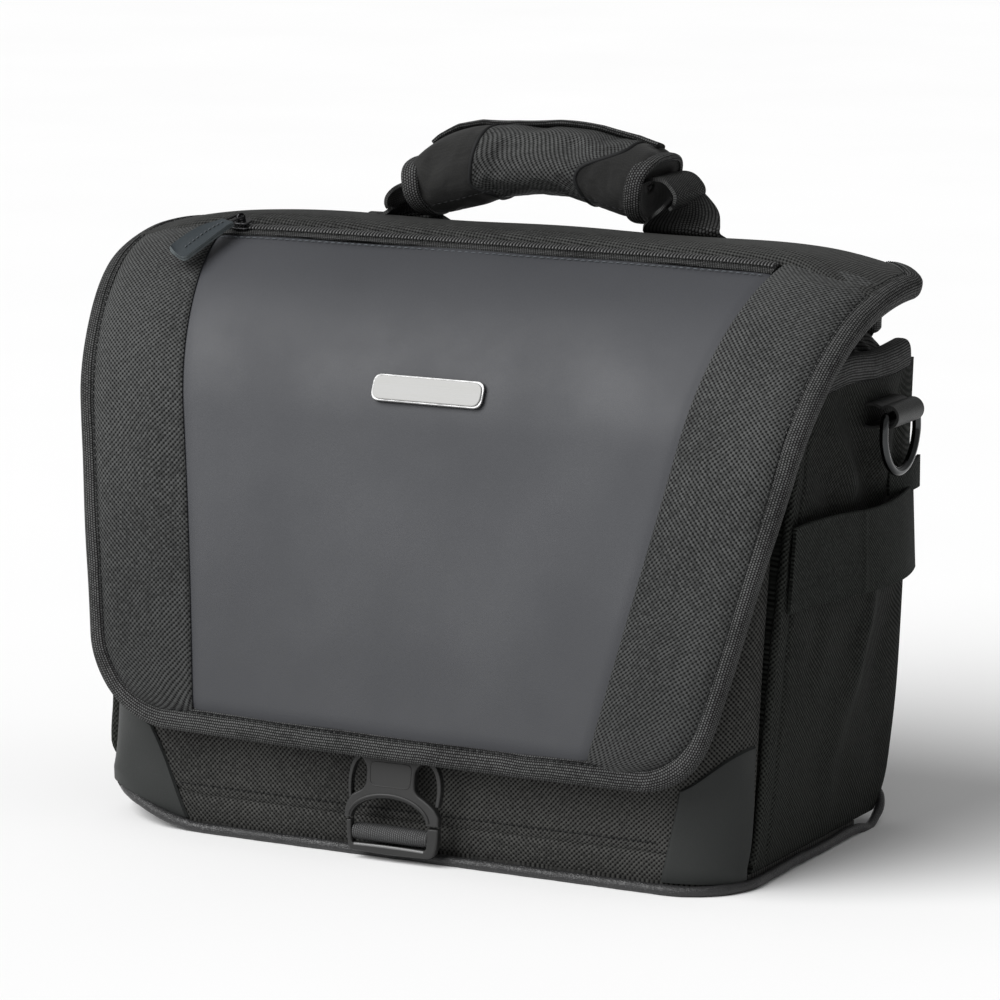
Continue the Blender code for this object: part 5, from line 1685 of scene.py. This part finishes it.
def build_buckle():
    upper = facing(SPLIT_Z) @ Matrix.Rotation(math.radians(-7.0), 4, "X")
    arch = [(0.0196 * math.sin(a), 0.0106 * math.cos(a))
            for a in np.linspace(0, math.pi / 2, 22)]
    side = [(0.0262, 0.0), (0.0262, 0.0044), (0.0236, 0.0080), (0.0192, 0.0112),
            (0.0150, 0.0136), (0.0130, 0.0162), (0.0126, 0.0205), (0.0130, 0.0248),
            (0.0156, 0.0282), (0.0178, 0.0300), (0.0178, 0.0330)]
    curve = spline(side[1:-1], 40)
    half = arch + [side[0]] + [tuple(p) for p in curve] + [side[-1]]
    body = plate("buckle_upper_shell", [both_halves(half)], 0.0042, PLASTIC, upper,
                 bevel=0.0009, segments=4)
    fasten(body, "flap", ("buckle_plate",))
    # a raised lip over the arch and a shallow recessed field above it
    lip = [(0.0212 * math.sin(a), 0.0122 * math.cos(a), 0.0018)
           for a in np.linspace(-1.45, 1.45, 60)]
    turn = np.array(upper)
    path = np.array([list(upper @ Vector(p)) for p in lip])
    fasten(sweep("buckle_arch_lip", tube_rings(path, 0.0009, 10, up=tuple(turn[:3, 2])),
                 [PLASTIC]), "flap")
    field = rounded([(-0.0104, 0.0160), (0.0104, 0.0160), (0.0110, 0.0270),
                     (-0.0110, 0.0270)], 0.0030, 6)
    path = np.array([list(upper @ Vector((x, y, 0.0020))) for x, y in field])
    fasten(sweep("buckle_field_edge", tube_rings(path, 0.00035, 8, up=tuple(turn[:3, 2]),
                                                 cyclic=True), [PLASTIC], cyclic=True),
           "flap")
    for side_name, sign in SIDES:
        spine = spline([(0.0246, 0.0092), (0.0252, 0.0130), (0.0254, 0.0175),
                        (0.0247, 0.0222), (0.0230, 0.0262), (0.0206, 0.0288),
                        (0.0194, 0.0296)], 50)
        step = np.gradient(spine, axis=0)
        step /= np.linalg.norm(step, axis=1, keepdims=True)
        out = np.stack([step[:, 1], -step[:, 0]], -1)
        width = mix(0.00085, 0.00120, np.linspace(0, 1, 50))[:, None]
        outline = list(map(tuple, spine + out * width))
        outline += list(map(tuple, (spine - out * width)[::-1]))
        reach = 1.0 if sign > 0 else -0.84
        arm = plate("buckle_arm_" + side_name, [[(reach * x, y) for x, y in outline]], 0.0036,
                    PLASTIC, upper @ Matrix.Translation((0, 0, -0.0002)), bevel=0.0004)
        fasten(arm, "arm_" + side_name, ("release_arm_" + side_name,))

    def tab(u, v):
        start = np.array(upper @ Vector((0, 0.0325, 0)))
        spot = flap_surface(mix(0.010, 0.040, v), 0 * v, 0.0096)
        share = smoothstep(v * 2.5)
        y = mix(start[1], spot[..., 1], share)
        z = mix(start[2], spot[..., 2], share)
        return np.stack([mix(-0.0165, 0.0165, u), y, z], -1)
    fasten(shell("buckle_tab_webbing", grid(tab, 24, 40), 0.0014, [WEBBING, WEBBING]), "flap",
           ("buckle_tab",))

    lower = facing(0.0)
    rim = [(0.0190, 0.0042), (0.0226, 0.0050), (0.0246, 0.0080), (0.0256, 0.0120),
           (0.0260, 0.0160)]
    top = [(0.0206, SPLIT_Z - 0.0009), (0.0260, SPLIT_Z - 0.0009)]
    legs = [(0.0, 0.0036)] + [tuple(p) for p in spline(rim, 30)]
    outline = legs + [top[1], top[0]] + [(0.0204, 0.0150), (0.0198, 0.0090),
                                         (0.0188, 0.0078), (0.0, 0.0074)]
    frame_plate = plate("buckle_lower_shell", [both_halves(outline, 0.0188, 0.45)], 0.0042,
                        PLASTIC, lower, bevel=0.0008, segments=4)
    fasten(frame_plate, "lower_buckle", ("buckle_frame",))
    # a thin tube of pale plastic along the front of the bottom bar: a painted highlight
    bar = np.array([(x, BUCKLE_Y - 0.0016, 0.0070 + 0.0004 * math.cos(x * 70))
                    for x in np.linspace(-0.0180, 0.0186, 30)])
    fasten(sweep("buckle_bar_painted_highlight", tube_rings(bar, 0.0007, 10), [BAR_PAINTED_HIGHLIGHT]),
           "lower_buckle")
    # the webbing rolled round the frame's bar
    x = np.linspace(-0.0190, 0.0202, 60)
    path = np.stack([x, np.full_like(x, -0.1062), np.full_like(x, 0.0127)], -1)
    radius = 0.0041 - 0.0003 * np.abs(x / 0.0192) ** 6
    rings = tube_rings(path, radius, 40)
    fasten(sweep("frame_webbing_roll", rings, [ROLL_WEB]), "lower_buckle",
           ("frame_webbing",))

    def strap(u, v):
        route = spline([(-0.0890, 0.0073), (-0.0950, 0.0070), (-0.0995, 0.0050),
                        (-0.1040, 0.0041)], 60)
        spot = along(route, v)
        return np.stack([mix(0.0190, -0.0190, u), spot[..., 0], spot[..., 1]], -1)
    fasten(shell("foot_strap", grid(strap, 30, 24), 0.0012, [WEBBING, WEBBING]), "bag",
           ("base_strap",))


# painted highlight: the pale plastic of the bar's highlight tube
BAR_PAINTED_HIGHLIGHT = moulded("buckle_bar_painted_highlight", (0.10, 0.10, 0.10), (0.16, 0.16, 0.16), roughness=0.25)
ROLL_WEB = ribbed("rolled_webbing", (0.006, 0.006, 0.006), (0.060, 0.061, 0.062), rib=0.0011,
                  cross=0.0008, along_u=False, roughness=0.40, depth=0.00022,
                  Specular_IOR_Level=0.35)


# ---------------------------------------------------------------- the zip's slider and pull
def flap_turn(s):
    """The turn of the flap's face at s: X lies across the bag and Z points out of the face."""
    _, _, ny, nz = (float(k) for k in flap_profile(s))
    out, way = Vector((0, ny, nz)), Vector((1, 0, 0))
    up = out.cross(way)
    return Matrix(((way.x, up.x, out.x), (way.y, up.y, out.y), (way.z, up.z, out.z))).to_4x4()


SLIDER_X = -0.1370


def build_slider():
    line = flap_surface(ZIP_S, 0.0, -0.0014)
    base = flap_turn(ZIP_S)
    base.translation = Vector((SLIDER_X, line[1], line[2]))
    half_h = 0.0037
    outline = [(-0.0055, -0.0026), (-0.0020, -half_h), (0.0035, -half_h),
               (0.0055, -0.0020), (0.0055, 0.0020), (0.0035, half_h),
               (-0.0020, half_h), (-0.0055, 0.0026)]
    for name, lift in (("slider_upper", 0.0019), ("slider_lower", -0.0006)):
        obj = plate(name, [rounded(outline, 0.0015, 4)], 0.0010, GUN_METAL,
                    base @ Matrix.Translation((0, 0, lift)), bevel=0.00035)
        fasten(obj, "slider", ("zip_slider",) if lift > 0 else ())
    post = plate("slider_post", [arc((0.0032, 0), 0.0011, 0, 350, 14)], 0.0026, GUN_METAL,
                 base @ Matrix.Translation((0, 0, 0.0006)), bevel=0.0003)
    fasten(post, "slider")

    lay = base @ Matrix.Rotation(math.radians(248), 4, "Z")
    lug = [(-0.0026, 0.0), (0.0026, 0.0), (0.0026, 0.0022)]
    lug += arc((0, 0.0020), 0.0022, 20, 160, 12) + [(-0.0026, 0.0022)]
    hole = arc((0, 0.0019), 0.0012, 0, 345, 14)
    stand = Matrix.Translation((0, 0, 0.0022)) @ Matrix.Rotation(math.radians(90), 4, "X")
    fasten(plate("slider_eye", [lug, hole], 0.0014, GUN_METAL, lay @ stand, bevel=0.0003),
           "slider", ("slider_lug",))

    pin = 0.0028 + 0.0019
    link = [(0.0, -0.0021, pin), (0.0, 0.0, pin), (0.0, 0.0021, pin), (0.0035, 0.0021, pin),
            (0.0072, 0.0021, pin), (0.0076, 0.0, pin), (0.0072, -0.0021, pin),
            (0.0035, -0.0021, pin)]
    path = np.array([list(lay @ Vector(p)) for p in link])
    path = spline(np.concatenate([path, path[:1]]), 70)[:-1]
    fasten(sweep("pull_ring", tube_rings(path, 0.00055, 10, cyclic=True), [GUN_METAL],
                 cyclic=True), "pull", ("pull_link",))

    drop = spline([(0.0, 0.0040), (0.3, 0.0034), (0.6, 0.0016), (1.0, -0.0018)])

    def skin(u, v, lift):
        reach = mix(0.0076, 0.0398, v)
        half = mix(0.0042, 0.0056, smoothstep(v * 3))
        half = half * np.sqrt(np.clip(1 - np.clip((v - 0.93) / 0.085, 0, 1) ** 2 * 0.6, 0, 1))
        across = mix(-1, 1, u)
        tilt = 0.0016 * across * smoothstep(v * 1.4)
        curl = 0.0012 * across ** 2 * v
        z = np.interp(v, drop[:, 0], drop[:, 1]) + lift - tilt + curl
        spots = np.stack([reach, across * half, z], -1)
        shape = spots.shape
        flat = spots.reshape(-1, 3) @ np.array(lay)[:3, :3].T + np.array(lay)[:3, 3]
        return flat.reshape(shape)
    for name, lift, stands in (("pull_leather_upper", 0.0012, ("pull_tab",)),
                               ("pull_leather_lower", -0.0001, ())):
        columns, rows = 14, 44
        outer = grid(lambda u, v, k=lift: skin(1 - u, v, k), columns, rows)
        if normals_of(outer)[20, 7] @ np.array(lay)[:3, 2] < 0:
            outer = outer[:, ::-1]
        obj = shell(name, outer, 0.0011, [PULL_SKIN, PULL_SKIN])
        paint_rim(obj, PULL_EDGE, 2 * columns * rows)
        fasten(obj, "pull", stands)
    v = np.linspace(0.06, 0.90, 60)
    line = skin(np.full_like(v, 0.5), v, 0.0012)
    fasten(stitches("pull_stitches", line, np.array(lay)[:3, 2], PALE_THREAD, pitch=0.0026,
                    length=0.0016), "pull")


def paint_rim(obj, material, first):
    """Gives a sheet's cut edge its own finish: its faces are those from first on."""
    mesh = obj.data
    mesh.materials.append(material)
    for face in mesh.polygons[first:]:
        face.material_index = len(mesh.materials) - 1


build_grip()
build_straps()
build_buckle()
build_slider()


# ---------------------------------------------------------------- floor, light and camera
FLOOR_HALF = 6.0
SKY_STRENGTH = 0.35
SUN_WAY = (-0.44, -0.63, 0.66)  # from the bag towards the sun
SUN_POWER = 3.7
SUN_SPREAD = 50                 # degrees
CAMERA_SPOT = (1.130, -2.144, 0.601)
CAMERA_DOWN = 10.49             # degrees below level
CAMERA_ROUND = 27.78            # degrees round to the left
CAMERA_LENS = 187.2             # mm, for a sensor 36 mm wide


def build_studio():
    stage = Finish("studio_paper", colour=(0.92, 0.92, 0.92), roughness=0.8)
    tone = stage.blend(stage.noise(3.0, 2.0), (0.90, 0.90, 0.90), (0.94, 0.94, 0.94))
    paper = stage.finish(tone)
    size = FLOOR_HALF
    verts = [(-size, -size, 0), (size, -size, 0), (size, size, 0), (-size, size, 0)]
    floor = make_piece("studio_floor", verts, [(0, 1, 2, 3)],
                       [(0, 0), (1, 0), (1, 1), (0, 1)], [paper], smooth=False)

    scene = bpy.context.scene
    world = bpy.data.worlds.new("studio")
    world.use_nodes = True
    sky = world.node_tree.nodes["Background"].inputs
    sky[0].default_value = (1.0, 1.0, 1.0, 1)
    sky[1].default_value = SKY_STRENGTH
    scene.world = world
    scene.view_settings.view_transform = "Standard"

    light = bpy.data.lights.new("key_light", "SUN")
    light.energy = SUN_POWER
    light.angle = math.radians(SUN_SPREAD)
    sun = bpy.data.objects.new("key_light", light)
    sun.rotation_euler = (-Vector(SUN_WAY)).to_track_quat("-Z", "Y").to_euler()
    scene.collection.objects.link(sun)

    data = bpy.data.cameras.new("photo_camera")
    data.lens = CAMERA_LENS
    data.sensor_width = 36.0
    camera = bpy.data.objects.new("photo_camera", data)
    camera.location = CAMERA_SPOT
    camera.rotation_euler = (math.radians(90 - CAMERA_DOWN), 0, math.radians(CAMERA_ROUND))
    scene.collection.objects.link(camera)
    scene.camera = camera


build_studio()
